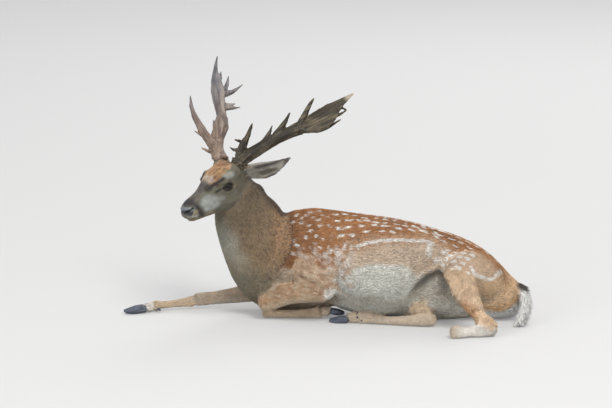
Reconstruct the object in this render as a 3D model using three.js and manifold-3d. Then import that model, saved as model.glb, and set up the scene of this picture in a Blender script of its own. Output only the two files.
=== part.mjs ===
// A fallow buck at rest on the ground, life size, in millimetres with +Z up. It faces -X and its left side is -Y.
// Body parts are lofts through a few stations; neighbours are parted by thin cuts.
import * as THREE from "three";
import { mergeVertices } from "three/addons/utils/BufferGeometryUtils.js";
import Module from "manifold-3d";

const wasm = await Module();
wasm.setup();

const GAP = 0.3; // clear space between neighbouring parts
const OVER = 0.4; // how much fatter a part is when it trims its neighbour
const HEAD = { at: [-300, -75, 441], yaw: 47, pitch: 2, roll: 2, scale: 1.05 };
const EYE = { at: [0, 41, 0], radius: 17 };
const GROIN = { at: [402, -186, 72], radius: [95, 104, 106] }; // hollow under the fold of the left flank
const NECK_CUT = { x: -84, z: 345, lean: 0.13 }; // plane between neck and trunk
const HOOF = { width: 25, height: 30, gap: 1.2 };

// --- solids -------------------------------------------------------------------------------------------------

function toSolid(geometry) {
  const bare = new THREE.BufferGeometry();
  bare.setAttribute("position", geometry.getAttribute("position").clone());
  if (geometry.index) bare.setIndex(geometry.index.clone());
  const g = mergeVertices(bare, 1e-4);
  return new wasm.Manifold(
    new wasm.Mesh({
      numProp: 3,
      vertProperties: new Float32Array(g.attributes.position.array),
      triVerts: new Uint32Array(g.index.array),
    }),
  );
}

// The largest closed shell of a solid, as a geometry.
function toGeometry(solid) {
  const mesh = solid.getMesh();
  const count = mesh.vertProperties.length / mesh.numProp;
  const owner = Array.from({ length: count }, (_, i) => i);
  const find = (i) => {
    while (owner[i] !== i) i = owner[i] = owner[owner[i]];
    return i;
  };
  const tri = mesh.triVerts;
  for (let i = 0; i < mesh.mergeFromVert.length; i++) {
    owner[find(mesh.mergeFromVert[i])] = find(mesh.mergeToVert[i]);
  }
  for (let t = 0; t < tri.length; t += 3) {
    owner[find(tri[t])] = find(tri[t + 1]);
    owner[find(tri[t + 1])] = find(tri[t + 2]);
  }
  const point = (i) => new THREE.Vector3().fromArray(mesh.vertProperties, i * mesh.numProp);
  const volume = new Map();
  for (let t = 0; t < tri.length; t += 3) {
    const [a, b, c] = [point(tri[t]), point(tri[t + 1]), point(tri[t + 2])];
    const key = find(tri[t]);
    volume.set(key, (volume.get(key) ?? 0) + a.dot(b.cross(c)));
  }
  const best = [...volume.entries()].sort((a, b) => b[1] - a[1])[0][0];
  const position = [];
  for (let t = 0; t < tri.length; t += 3) {
    if (find(tri[t]) !== best) continue;
    for (let k = 0; k < 3; k++) position.push(...point(tri[t + k]).toArray());
  }
  const g = new THREE.BufferGeometry();
  g.setAttribute("position", new THREE.Float32BufferAttribute(position, 3));
  return mergeVertices(g, 1e-5);
}

function box(min, max) {
  const size = max.map((v, i) => v - min[i]);
  const g = new THREE.BoxGeometry(...size);
  g.translate(...max.map((v, i) => (v + min[i]) / 2));
  return toSolid(g);
}

const GROUND = box([-2000, -2000, -500], [2000, 2000, 0]);
const join = (...solids) => solids.reduce((a, b) => a.add(b));

// --- lofts --------------------------------------------------------------------------------------------------

// Values between stations, smooth and passing through each one.
function between(rows, column, t) {
  const n = rows.length - 1;
  const i = Math.min(Math.floor(t * n), n - 1);
  const f = t * n - i;
  const at = (k) => rows[Math.max(0, Math.min(n, k))][column];
  const [a, b, c, d] = [at(i - 1), at(i), at(i + 1), at(i + 2)];
  const smooth = 0.5 * (2 * b + (c - a) * f + (2 * a - 5 * b + 4 * c - d) * f * f
    + (3 * b - a - 3 * c + d) * f * f * f);
  return Math.min(Math.max(smooth, Math.min(b, c)), Math.max(b, c));
}

// A closed body through stations [x, y, z, half width, up, down]. `up` is the direction that "up" leans to,
// `power` shapes the upper and lower halves (2 is an ellipse), `caps` are the lengths of the domed ends and
// `normal` faces every section one way.
function loft(stations, {
  rings = 12, sides = 16, up = [0, 0, 1], power = [2, 2], caps = [8, 8], normal = null, frame = null, dome = 2,
  grow = 0,
} = {}) {
  const path = new THREE.CatmullRomCurve3(
    stations.map(([x, y, z]) => new THREE.Vector3(x, y, z)), false, "centripetal");
  const hint = new THREE.Vector3(...up);
  const heading = (t) => (normal ? new THREE.Vector3(...normal).normalize() : path.getTangent(t));
  const ring = (t, slide, shrink) => {
    const centre = path.getPoint(t);
    const tangent = heading(t);
    const side = new THREE.Vector3().crossVectors(tangent, hint).normalize();
    const top = new THREE.Vector3().crossVectors(side, tangent).normalize();
    centre.addScaledVector(tangent, slide);
    const [w, u, d] = [3, 4, 5].map((c) => (between(stations, c, t) + grow) * shrink);
    const lower = stations[0].length > 6 ? between(stations, 6, t) : power[1];
    return Array.from({ length: sides }, (_, k) => {
      const a = (2 * Math.PI * k) / sides;
      const [c, s] = [Math.cos(a), Math.sin(a)];
      const p = s >= 0 ? power[0] : lower;
      const bend = (v) => Math.sign(v) * Math.abs(v) ** (2 / p);
      return centre.clone().addScaledVector(side, w * bend(c)).addScaledVector(top, (s >= 0 ? u : d) * bend(s));
    });
  };
  const loops = [];
  for (let k = dome; k >= 1; k--) {
    const a = (k / (dome + 1)) * (Math.PI / 2);
    loops.push(ring(0, -(caps[0] + grow) * Math.sin(a), Math.cos(a)));
  }
  for (let r = 0; r < rings; r++) loops.push(ring(r / (rings - 1), 0, 1));
  for (let k = 1; k <= dome; k++) {
    const a = (k / (dome + 1)) * (Math.PI / 2);
    loops.push(ring(1, (caps[1] + grow) * Math.sin(a), Math.cos(a)));
  }
  const ends = [
    path.getPoint(0).addScaledVector(heading(0), -(caps[0] + grow)),
    path.getPoint(1).addScaledVector(heading(1), caps[1] + grow),
  ];
  if (frame) [...loops.flat(), ...ends].forEach((p) => p.applyMatrix4(frame));
  return close(loops, ends);
}

// Triangles over a row of equal loops, closed by one point at each end and turned to face out.
function close(loops, ends) {
  const sides = loops[0].length;
  const points = [...loops.flat(), ...ends];
  const index = [];
  for (let r = 0; r + 1 < loops.length; r++) {
    for (let k = 0; k < sides; k++) {
      const [a, b] = [r * sides + k, r * sides + ((k + 1) % sides)];
      index.push(a, b, b + sides, a, b + sides, a + sides);
    }
  }
  const last = (loops.length - 1) * sides;
  for (let k = 0; k < sides; k++) {
    const next = (k + 1) % sides;
    index.push(points.length - 2, next, k);
    index.push(points.length - 1, last + k, last + next);
  }
  let volume = 0;
  for (let t = 0; t < index.length; t += 3) {
    const [a, b, c] = [0, 1, 2].map((k) => points[index[t + k]]);
    volume += a.dot(b.clone().cross(c));
  }
  const g = new THREE.BufferGeometry();
  g.setAttribute("position", new THREE.Float32BufferAttribute(points.flatMap((p) => p.toArray()), 3));
  g.setIndex(volume > 0 ? index : index.reverse());
  return toSolid(g);
}

// A round limb or tine through points [x, y, z, radius].
const tube = (points, options = {}) => loft(points.map(([x, y, z, r]) => [x, y, z, r, r, r]), options);

function ball(at, radius, { detail = 8, frame = null } = {}) {
  const g = new THREE.SphereGeometry(1, detail, Math.round(detail * 0.7));
  g.scale(...(Array.isArray(radius) ? radius : [radius, radius, radius]));
  g.translate(...at);
  if (frame) g.applyMatrix4(frame);
  return toSolid(g);
}

// --- parts list ---------------------------------------------------------------------------------------------

const group = new THREE.Group();
group.name = "fallow_buck";
const COLOURS = {
  coat: "#a5693c", pale: "#cdb79a", antler: "#6b5a49", horn: "#23262b", eye: "#120c09",
};
const cutters = [];

// Adds a part: `make(grow)` gives its solid, trimmed by the ground and by the parts named in `by`.
function part(name, colour, make, by = []) {
  let solid = make(0).subtract(GROUND);
  for (const other of cutters.filter((c) => by.includes(c.name))) {
    solid = solid.subtract(other.make(OVER));
  }
  cutters.push({ name, make });
  if (solid.isEmpty()) throw new Error(name + " is empty");
  const mesh = new THREE.Mesh(
    toGeometry(solid), new THREE.MeshStandardMaterial({ color: COLOURS[colour], flatShading: true }));
  mesh.name = name;
  group.add(mesh);
}

// --- the head's own frame: x forward, y left, z up ------------------------------------------------------------

const rad = THREE.MathUtils.degToRad;
function headFrame() {
  const [y, p, r] = [HEAD.yaw, HEAD.pitch, HEAD.roll].map(rad);
  const forward = new THREE.Vector3(-Math.cos(p) * Math.cos(y), -Math.cos(p) * Math.sin(y), -Math.sin(p));
  const level = new THREE.Vector3(Math.sin(y), -Math.cos(y), 0);
  const upright = new THREE.Vector3().crossVectors(forward, level);
  const left = level.clone().multiplyScalar(Math.cos(r)).addScaledVector(upright, -Math.sin(r));
  const up = new THREE.Vector3().crossVectors(forward, left);
  return new THREE.Matrix4().makeBasis(forward, left, up).setPosition(...HEAD.at);
}
const FRAME = headFrame();
const big = (rows) => rows.map((row) => row.map((v) => v * HEAD.scale));

// --- hooves ---------------------------------------------------------------------------------------------------

// One claw: from the coronet at `from` to the tip at `to`, flat below.
function claw(from, to, side, grow, size) {
  const along = new THREE.Vector3(...to).sub(new THREE.Vector3(...from)).normalize();
  const across = new THREE.Vector3(along.y, -along.x, 0).normalize();
  const shift = (side * (HOOF.width * size + HOOF.gap)) / 2;
  const [w, h] = [(HOOF.width * size) / 2 - 0.5, HOOF.height * size];
  const row = (t, width, up, down) => {
    const p = new THREE.Vector3(...from).lerp(new THREE.Vector3(...to), t);
    p.addScaledVector(across, shift * (1 - 0.35 * t) + (side * grow) / 2);
    return [...p.toArray(), width, up, down];
  };
  return loft(
    [row(0, w, h * 0.5, h * 0.5), row(0.45, w, h * 0.36, h * 0.5), row(0.8, w * 0.8, h * 0.2, h * 0.42),
      row(1, w * 0.35, 4, 6)],
    { rings: 3, sides: 7, power: [2, 3], caps: [3, 3], dome: 0, grow });
}

// --- trunk ----------------------------------------------------------------------------------------------------

// Stations as [x, side shift, widest level, half width, top, bottom] turned into loft rows.
// The last value bends the lower half: towards 1 it is a keel, at 2 it is round.
const level = (rows) => rows.map(([x, y, z, w, top, bottom, keel]) => [x, y, z, w, top - z, z - bottom, keel]);

const TRUNK = level([
  [-150, 0, 175, 100, 322, 2, 1.4], [-84, 0, 180, 114, 341, -4, 1.35], [0, 0, 180, 122, 356, -4, 1.35],
  [60, 0, 165, 136, 350, 28, 1.5], [125, 0, 150, 174, 341, 26, 1.6], [205, 0, 140, 206, 332, -3, 1.7],
  [285, 0, 142, 207, 319, -3, 1.6], [350, 5, 165, 172, 304, 2, 1.35], [413, 12, 185, 128, 285, 46, 1.9],
  [480, 22, 150, 134, 261, 20, 2], [540, 20, 118, 126, 232, -3, 2], [595, 14, 95, 108, 191, -3, 2],
  [645, 6, 70, 80, 138, 2, 2],
]);
const inFrontOf = (slide) => {
  const { x, z, lean } = NECK_CUT;
  const g = new THREE.BoxGeometry(1200, 1600, 1600);
  g.translate(-600, 0, 0);
  g.rotateY(Math.atan(lean));
  g.translate(x + slide, 0, z);
  return toSolid(g);
};
const groin = (grow) => ball(GROIN.at, GROIN.radius.map((r) => r - grow), { detail: 12 });
const trunkBody = (grow) => loft(TRUNK, {
  rings: 19, sides: 20, power: [1.9, 1.9], caps: [20, 30], normal: [1, 0, 0], grow }).subtract(groin(grow));
part("trunk", "coat", (grow) => (grow ? trunkBody(grow) : trunkBody(0).subtract(inFrontOf(GAP / 2))));

// --- head ----------------------------------------------------------------------------------------------

const SKULL = big([
  [-108, 0, -8, 38, 38, 44], [-80, 0, -12, 48, 66, 66], [-50, 0, -16, 54, 81, 74], [-20, 0, -20, 55, 81, 72],
  [6, 0, -27, 49, 68, 67], [30, 0, -36, 38, 53, 59], [56, 0, -46, 30, 43, 51], [84, 0, -55, 26, 37, 46],
  [108, 0, -63, 26, 31, 41], [127, 0, -70, 24, 23, 32],
]);
const EYES = { left: 1, right: -1 };
const eyeAt = (side) => [EYE.at[0], EYE.at[1] * side, EYE.at[2]].map((v) => v * HEAD.scale);
const headBody = (grow) => {
  let solid = loft(SKULL, { rings: 11, sides: 16, power: [2.4, 2], caps: [14, 8], frame: FRAME, grow });
  for (const side of Object.values(EYES)) {
    const brow = big([[-24, 42 * side, 24, 11, 11, 11], [2, 48 * side, 24, 12, 10, 10], [28, 36 * side, 11, 9, 8, 8]]);
    const pedicle = big([[-30, 26 * side, 32, 23, 23, 23], [-50, 39 * side, 49, 24, 24, 24]]);
    solid = join(
      solid,
      loft(brow, { rings: 3, sides: 5, dome: 1, frame: FRAME, grow }),
      loft(pedicle, { rings: 2, sides: 8, caps: [2, 4], dome: 1, frame: FRAME, grow }),
    );
  }
  return solid;
};
const sockets = (grow) => join(...Object.values(EYES).map((s) =>
  ball(eyeAt(s), EYE.radius + grow, { frame: FRAME })));
part("head", "coat", (grow) => (grow ? headBody(grow) : headBody(0).subtract(sockets(GAP))));
for (const [name, side] of Object.entries(EYES)) {
  part("eye_" + name, "eye", (grow) => ball(eyeAt(side), EYE.radius + grow, { frame: FRAME }));
}

// An ear: a leaf hollowed on its front, from the root to the tip.
const EAR = { width: 27, depth: 16, wall: 5 };
function ear(side, grow) {
  const path = big([[-80, 50 * side, 32], [-100, 86 * side, 38], [-124, 126 * side, 54], [-153, 165 * side, 86]]);
  const leaf = [1.0, 1.26, 0.86, 0.1];
  const cup = path.map(([x, y, z], i) => {
    const w = EAR.width * leaf[i];
    return [x, y, z, w, EAR.depth * leaf[i], EAR.wall * 0.5];
  });
  const hollow = path.map(([x, y, z], i) => {
    const w = (EAR.width - EAR.wall) * leaf[i] * (i ? 1 : 0.5);
    return [x + 14, y, z - 5, Math.max(w, 1), Math.max(EAR.depth * leaf[i] * 0.75, 1), 14];
  });
  const shell = loft(cup, {
    rings: 6, sides: 10, up: [-1, 0, 0.5], caps: [6, 5], dome: 1, frame: FRAME, grow });
  if (grow) return shell;
  return shell.subtract(loft(hollow, {
    rings: 5, sides: 7, up: [-1, 0, 0.5], caps: [1, 1], dome: 1, frame: FRAME }));
}
for (const [name, side] of Object.entries(EYES)) {
  part("ear_" + name, "coat", (grow) => ear(side, grow), ["head"]);
}

// --- antlers, in the head's frame -------------------------------------------------------------------------------

const tine = (points, options = {}) => tube(points, {
  rings: 4, sides: 5, caps: [2, 2], dome: 0, frame: FRAME, ...options });
const palm = (rows, side, grow, rings = 12) => loft(rows, {
  rings, sides: 8, up: [-0.1, -0.72 * side, 0.68], power: [1.7, 1.7], caps: [3, 4], dome: 1, frame: FRAME, grow });

const LEFT = {
  brow: (grow) => join(
    tine([[-60, 41, 84, 16], [-66, 46, 108, 16], [-71, 51, 130, 14], [-78, 60, 150, 9], [-80, 73, 178, 7],
      [-76, 88, 203, 2]], { rings: 7, sides: 6, grow }),
    tine([[-60, 41, 106, 7], [-40, 35, 112, 5], [-27, 31, 122, 2]], { rings: 3, grow }),
    tine([[-70, 49, 134, 7], [-50, 46, 142, 5], [-38, 43, 146, 2]], { rings: 3, grow }),
  ),
  beam: (grow) => join(
    tine([[-55, 38, 56, 25], [-58, 41, 68, 20], [-78, 61, 89, 21], [-111, 94, 119, 20], [-145, 128, 148, 19],
      [-174, 157, 168, 20], [-198, 181, 183, 23]], { rings: 7, sides: 8, caps: [1, 1], grow }),
    tine([[-114, 96, 130, 13], [-131, 106, 163, 7], [-143, 108, 188, 2]], { rings: 4, grow }),
    tine([[-142, 126, 158, 15], [-164, 138, 192, 10], [-183, 148, 230, 3]], { rings: 4, grow }),
  ),
  palm: (grow) => join(
    palm([[-198, 181, 185, 17, 20, 24], [-216, 200, 198, 12, 26, 38], [-240, 224, 214, 9, 33, 50],
      [-264, 248, 236, 8, 32, 38], [-286, 270, 262, 8, 18, 16], [-300, 286, 280, 6, 10, 10],
      [-314, 300, 295, 3, 4, 4]], 1, grow, 9),
    tine([[-200, 182, 200, 14], [-216, 192, 240, 9], [-224, 196, 256, 8], [-237, 202, 277, 3]], { rings: 5, grow }),
    tine([[-272, 256, 248, 8], [-288, 274, 250, 6], [-301, 286, 245, 2]], { rings: 3, grow }),
    tine([[-258, 246, 218, 9], [-280, 268, 226, 7], [-300, 288, 242, 2]], { rings: 4, grow }),
    tine([[-236, 226, 178, 10], [-262, 250, 190, 7], [-287, 274, 212, 2]], { rings: 4, grow }),
  ),
};
const RIGHT = {
  brow: (grow) => join(
    tine([[-56, -68, 88, 17], [-42, -80, 118, 17], [-32, -98, 145, 14], [-21, -124, 186, 11], [-17, -143, 224, 8],
      [-20, -152, 262, 2]], { rings: 7, sides: 6, grow }),
    tine([[-54, -66, 86, 10], [-32, -80, 88, 6], [-17, -97, 100, 2]], { rings: 3, grow }),
    tine([[-36, -92, 130, 8], [-20, -108, 142, 5], [-10, -123, 153, 2]], { rings: 3, grow }),
  ),
  beam: (grow) => join(
    tine([[-52, -42, 60, 24], [-54, -52, 73, 21], [-66, -78, 88, 22], [-91, -106, 117, 24], [-122, -120, 147, 26],
      [-145, -142, 172, 20]], { rings: 6, sides: 8, caps: [1, 1], grow }),
    tine([[-110, -135, 140, 9], [-118, -150, 153, 6], [-123, -160, 166, 2]], { rings: 3, grow }),
  ),
  palm: (grow) => join(
    palm([[-145, -142, 173, 17, 18, 18], [-167, -176, 203, 13, 24, 28], [-186, -204, 231, 10, 34, 38],
      [-203, -238, 259, 9, 32, 34], [-221, -264, 286, 8, 18, 20], [-240, -283, 310, 6, 8, 8],
      [-262, -301, 336, 3, 3, 3]], -1, grow, 9),
    tine([[-166, -168, 198, 12], [-192, -142, 198, 7], [-210, -126, 200, 2]], { rings: 4, grow }),
    tine([[-170, -166, 206, 10], [-196, -150, 207, 5], [-207, -144, 211, 2]], { rings: 4, grow }),
    tine([[-188, -206, 232, 14], [-224, -184, 240, 9], [-264, -174, 262, 2]], { rings: 5, grow }),
    tine([[-208, -200, 246, 10], [-232, -215, 268, 6], [-249, -228, 285, 2]], { rings: 4, grow }),
    tine([[-220, -240, 274, 9], [-234, -252, 288, 5], [-240, -256, 296, 2]], { rings: 3, grow }),
  ),
};
for (const [name, antler] of Object.entries({ left: LEFT, right: RIGHT })) {
  const beam = "antler_" + name + "_beam";
  part(beam, "antler", (grow) => antler.beam(grow), ["head", "ear_" + name]);
  part("antler_" + name + "_brow", "antler", (grow) => antler.brow(grow), ["head", beam]);
  part("antler_" + name + "_palm", "antler", (grow) => antler.palm(grow), [beam]);
}

// --- legs -------------------------------------------------------------------------------------------------------

// A leg's segments in order: each is trimmed by the body and by the segment before it.
function leg(name, segments, body) {
  let before = [...body];
  for (const [label, rows, options = {}] of segments) {
    part(name + "_" + label, "coat", (grow) => loft(rows, { rings: 6, sides: 10, caps: [12, 8], dome: 1, ...options, grow }),
      before);
    before = [...before, name + "_" + label];
  }
  return before;
}

// Two claws and two dewclaws at the end of a leg. `dew` is the point between the dewclaws, `back` the way they
// point and `apart` the way from one to the other.
function foot(name, from, to, { dew, back, apart, size = 1 }, trimmedBy) {
  const before = [...trimmedBy];
  const add = (label, make) => {
    part(name + "_" + label, "horn", make, before);
    before.push(name + "_" + label);
  };
  for (const [label, side] of [["outer", 1], ["inner", -1]]) {
    add("claw_" + label, (grow) => claw(from, to, side, grow, size));
    const base = dew.map((v, i) => v + apart[i] * side * 9);
    const tip = base.map((v, i) => v + back[i] * 13 + apart[i] * side * 2);
    add("dewclaw_" + label, (grow) => tube([[...base, 7], [...tip, 4]], { rings: 2, sides: 5, caps: [4, 3], dome: 0, grow }));
  }
}

const FORE_LEFT = [
  ["arm", [[-20, -96, 200, 30, 44, 40], [-12, -112, 160, 34, 46, 44], [20, -124, 128, 30, 42, 40],
    [74, -130, 104, 21, 27, 26]], { up: [1, 0, 0.3], caps: [14, 14] }],
  ["forearm", [[58, -130, 100, 24, 28, 27], [10, -126, 102, 30, 38, 34], [-60, -108, 94, 29, 37, 36],
    [-110, -92, 70, 25, 31, 32], [-148, -80, 52, 26, 29, 34]], { caps: [10, 14] }],
  ["cannon", [[-150, -78, 22, 18, 18, 20], [-110, -76, 19, 14, 14, 14], [-24, -70, 18, 13, 14, 14],
    [28, -64, 23, 16, 21, 19]], { rings: 6, sides: 8, caps: [8, 8] }],
  ["pastern", [[40, -63, 24, 14, 15, 15], [58, -62, 28, 14, 12, 13]], { rings: 2, sides: 8, caps: [3, 3] }],
];
const FORE_RIGHT = [
  ["arm", [[-46, 86, 205, 30, 42, 40], [-84, 104, 160, 34, 44, 42], [-112, 104, 112, 30, 38, 36],
    [-124, 99, 84, 26, 28, 26]], { up: [1, 0, 0.3] }],
  ["forearm", [[-110, 96, 80, 34, 44, 44], [-170, 80, 62, 30, 36, 38], [-235, 64, 50, 25, 29, 30],
    [-310, 50, 40, 20, 22, 23], [-380, 40, 33, 21, 23, 22]], { caps: [16, 12] }],
  ["cannon", [[-392, 37, 29, 19, 20, 20], [-430, 28, 24, 14, 14, 14], [-480, 12, 21, 12, 12, 12],
    [-514, -2, 19, 15, 16, 16]], { rings: 5, sides: 8, caps: [4, 6] }],
  ["pastern", [[-522, -6, 18, 14, 14, 15], [-542, -15, 16, 14, 12, 14]], { rings: 2, sides: 8, caps: [3, 3] }],
];
const HIND_LEFT = [
  ["thigh", [[572, -38, 125, 70, 70, 72], [532, -78, 160, 72, 78, 78], [492, -118, 184, 56, 66, 60],
    [458, -152, 188, 36, 40, 44]], { rings: 6, sides: 12, caps: [26, 14], dome: 2 }],
  ["shank", [[466, -154, 176, 40, 44, 42], [488, -178, 146, 40, 52, 46], [514, -204, 108, 32, 40, 36],
    [536, -226, 76, 26, 30, 26], [560, -242, 50, 23, 26, 30], [590, -255, 32, 19, 22, 34]],
  { rings: 7, sides: 10, up: [1, 0, 0.4], caps: [12, 12] }],
  ["metatarsus", [[592, -256, 24, 18, 21, 24], [560, -268, 20, 17, 25, 20], [510, -284, 18, 15, 20, 18],
    [470, -298, 20, 17, 24, 20]], { rings: 5, sides: 8, caps: [12, 9] }],
  ["pastern", [[474, -276, 15, 14, 14, 14], [496, -258, 14, 14, 13, 13]], { rings: 2, sides: 8, caps: [6, 3] }],
];
const HIND_RIGHT = [
  ["thigh", [[585, 55, 90, 84, 66, 93], [520, 30, 88, 104, 82, 91], [440, -30, 80, 78, 82, 84],
    [360, -30, 66, 64, 66, 70], [310, -20, 55, 44, 46, 58]], { rings: 6, sides: 12, caps: [26, 20], dome: 2 }],
  ["shank", [[318, -40, 52, 40, 40, 52], [350, -88, 42, 32, 32, 44], [384, -130, 34, 24, 24, 34]],
    { caps: [10, 10] }],
  ["metatarsus", [[404, -143, 26, 14, 13, 18], [384, -142, 26, 19, 22, 26], [345, -140, 21, 16, 17, 20],
    [265, -130, 16, 13, 13, 14], [166, -112, 18, 15, 17, 18]], { rings: 6, sides: 8, caps: [8, 7] }],
  ["pastern", [[152, -110, 17, 13, 13, 16], [132, -109, 15, 13, 11, 14]], { rings: 2, sides: 8, caps: [3, 3] }],
];
const BODY = ["trunk"];
foot("foreleg_left", [65, -62, 30], [108, -58, 22],
  { dew: [24, -63, 34], back: [0.5, 0, 0.87], apart: [0, -1, 0], size: 0.86 }, leg("foreleg_left", FORE_LEFT, BODY));
foot("hindleg_left", [500, -255, 14], [556, -232, 9],
  { dew: [474, -286, 20], back: [0.6, 0.8, 0], apart: [0, 0, 1] }, leg("hindleg_left", HIND_LEFT, BODY));
foot("hindleg_right", [124, -109, 14], [66, -106, 8],
  { dew: [162, -120, 18], back: [0.2, -0.98, 0], apart: [-0.8, 0, 0.6], size: 0.9 }, leg("hindleg_right", HIND_RIGHT, BODY));

// --- neck, which fits between the head, the trunk and the near foreleg ---------------------------------------------

const NECK = [
  [-222, -8, 436, 46, 66, 60], [-228, -14, 396, 56, 91, 82], [-222, -12, 350, 68, 108, 104],
  [-200, -6, 285, 84, 126, 116], [-172, 0, 215, 98, 112, 122], [-150, 0, 140, 104, 104, 114],
  [-128, 0, 80, 82, 92, 92], [-112, 0, 30, 54, 66, 50], [-106, 0, -6, 30, 40, 30],
];
const neckBody = (grow) => loft(NECK, {
  rings: 11, sides: 16, up: [1, 0, 0.2], power: [2, 1.9], caps: [10, 4], dome: 1, grow });
part("neck", "coat", (grow) => (grow ? neckBody(grow) : neckBody(0).intersect(inFrontOf(-GAP / 2))),
  ["head", "foreleg_left_arm", "foreleg_left_forearm", "foreleg_left_cannon"]);
foot("foreleg_right", [-546, -17, 16], [-607, -44, 9],
  { dew: [-506, -10, 10], back: [0.5, -0.8, -0.3], apart: [-0.9, 0.3, 0] },
  leg("foreleg_right", FORE_RIGHT, ["trunk", "neck"]));

// --- tail -------------------------------------------------------------------------------------------------------

part("tail", "pale", (grow) => loft(
  [[640, 4, 118, 18, 14, 14], [672, -18, 106, 22, 16, 16], [690, -52, 74, 20, 16, 16], [686, -88, 40, 17, 14, 14],
    [670, -120, 14, 9, 9, 9]],
  { rings: 8, sides: 10, up: [1, 0, 0.6], caps: [6, 10], grow }), BODY);

// --- origin at the middle of the base -----------------------------------------------------------------------------

const bounds = new THREE.Box3().setFromObject(group);
const middle = bounds.getCenter(new THREE.Vector3());
for (const mesh of group.children) mesh.geometry.translate(-middle.x, -middle.y, -bounds.min.z);

export default group;
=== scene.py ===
import math

import bmesh
import bpy
import numpy as np
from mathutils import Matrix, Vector
from mathutils.bvhtree import BVHTree


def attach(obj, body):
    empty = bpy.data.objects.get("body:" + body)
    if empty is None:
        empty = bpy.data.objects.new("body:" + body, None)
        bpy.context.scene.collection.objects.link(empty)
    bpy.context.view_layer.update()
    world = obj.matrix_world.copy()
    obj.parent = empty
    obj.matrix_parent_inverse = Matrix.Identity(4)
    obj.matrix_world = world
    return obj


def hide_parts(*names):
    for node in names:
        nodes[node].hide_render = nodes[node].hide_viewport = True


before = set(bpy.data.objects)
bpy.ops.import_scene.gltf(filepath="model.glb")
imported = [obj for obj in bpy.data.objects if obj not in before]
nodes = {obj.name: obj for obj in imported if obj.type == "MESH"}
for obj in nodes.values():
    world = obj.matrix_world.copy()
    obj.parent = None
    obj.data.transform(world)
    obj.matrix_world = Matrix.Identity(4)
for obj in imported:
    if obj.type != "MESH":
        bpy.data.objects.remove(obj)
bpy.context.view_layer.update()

LEGS = [f"{leg}_{side}" for leg in ("foreleg", "hindleg") for side in ("left", "right")]
FLESH = [n for n in nodes if not n.startswith(("antler", "eye")) and "claw" not in n]
HOOVES = [n for n in nodes if "claw" in n]

SKIN_VOXEL, ANTLER_VOXEL, HOOF_VOXEL = ((0.003, 0.002, 0.0013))
SKIN_FACES, ANTLER_TRIANGLES, TUFTS_IN_A_PIECE = 190000, 90000, 19500
TUFT_SPACING = 1.0
# how much fatter the copies of the nodes are before they become one piece, and what stays free over the ground
SKIN_GROWTH, ANTLER_GROWTH, HOOF_GROWTH = 0.0005, 0.0003, -0.00005
SKIN_HEIGHT, TUFT_HEIGHT, HAIRLESS_HEIGHT = 0.0006, 0.0003, 0.0025

# ---- head frame ----
# x forward, y to the animal's left, z up, origin between the eyes, in steps of HEAD_UNIT
HEAD_AT = np.array([-0.3469, -0.0721, 0.441])
HEAD_AXES = np.array([[-0.682, -0.731, -0.035], [0.732, -0.681, -0.035], [0.002, -0.049, 0.999]])
HEAD_UNIT = 0.00105


def in_head(points):
    return (np.asarray(points) - HEAD_AT) @ HEAD_AXES.T / HEAD_UNIT


def from_head(points):
    return np.asarray(points) * HEAD_UNIT @ HEAD_AXES + HEAD_AT


# ---- small numeric helpers ----
def step(low, high, x):
    """0 up to low, 1 from high on, smooth between."""
    t = np.clip((x - low) / (high - low), 0, 1)
    return t * t * (3 - 2 * t)


def fall(low, high, x):
    """1 up to low, 0 from high on."""
    return 1 - step(low, high, x)


def bump(x, centre, width):
    return np.exp(-(((x - centre) / width) ** 2))


def unit(v):
    return v / np.maximum(np.linalg.norm(v, axis=-1, keepdims=True), 1e-9)


def near(points, at, reach):
    """A soft patch round one place: 1 in its middle, 0 a little past its reach."""
    return fall(0.55, 1.15, np.linalg.norm((points - np.array(at)) / np.array(reach), axis=1))


def off_segment(points, a, b):
    """The way to each point from the nearest place between a and b."""
    t = np.clip((points - a) @ (b - a) / ((b - a) @ (b - a)), 0, 1)
    return points - a - t[:, None] * (b - a)


def path_near(points, path, reach):
    """A soft line through the given places: 1 on it, 0 away from it."""
    path = np.array(path, float)
    apart = [np.linalg.norm(off_segment(points, a, b), axis=1) for a, b in zip(path, path[1:])]
    return np.max([bump(d, 0, reach) for d in apart], axis=0)


def mark(points, place, reach):
    return path_near(points, place, reach) if isinstance(place, list) else near(points, place, reach)


def hash3(cells, seed):
    """A number from 0 to 1 for each cell, the same every time."""
    h = cells[:, 0] * 73856093 ^ cells[:, 1] * 19349663 ^ cells[:, 2] * 83492791
    h = h ^ (seed * 2654435761 % 2**31)
    h = (h ^ (h >> 13)) * 1274126177 & 0x7FFFFFFF
    return (h ^ (h >> 16)) % 65536 / 65535.0


def noise(points, size, seed):
    """Smooth noise from 0 to 1 with features of the given size."""
    q = np.asarray(points) / size + 1000.0
    base = np.floor(q).astype(np.int64)
    f = q - base
    f = f * f * (3 - 2 * f)
    total = np.zeros(len(q))
    for corner in np.ndindex(2, 2, 2):
        w = np.where(corner, f, 1 - f)
        total += w[:, 0] * w[:, 1] * w[:, 2] * hash3(base + corner, seed)
    return total


def noise3(points, size, seed):
    return np.stack([noise(points, size, seed + k) for k in range(3)], 1) - 0.5


# ---- meshes ----
def link(name, data):
    ob = bpy.data.objects.new(name, data)
    bpy.context.scene.collection.objects.link(ob)
    return ob


def new_object(name, verts, faces, smooth=True):
    me = bpy.data.meshes.new(name)
    faces = np.asarray(faces)
    me.vertices.add(len(verts))
    me.vertices.foreach_set("co", np.asarray(verts, dtype=np.float32).ravel())
    me.loops.add(faces.size)
    me.loops.foreach_set("vertex_index", faces.astype(np.int32).ravel())
    me.polygons.add(len(faces))
    me.polygons.foreach_set("loop_start", np.arange(0, faces.size, faces.shape[1], dtype=np.int32))
    me.update(calc_edges=True)
    me.polygons.foreach_set("use_smooth", np.full(len(faces), smooth))
    return link(name, me)


def smooth_faces(me):
    me.polygons.foreach_set("use_smooth", np.ones(len(me.polygons), bool))


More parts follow.
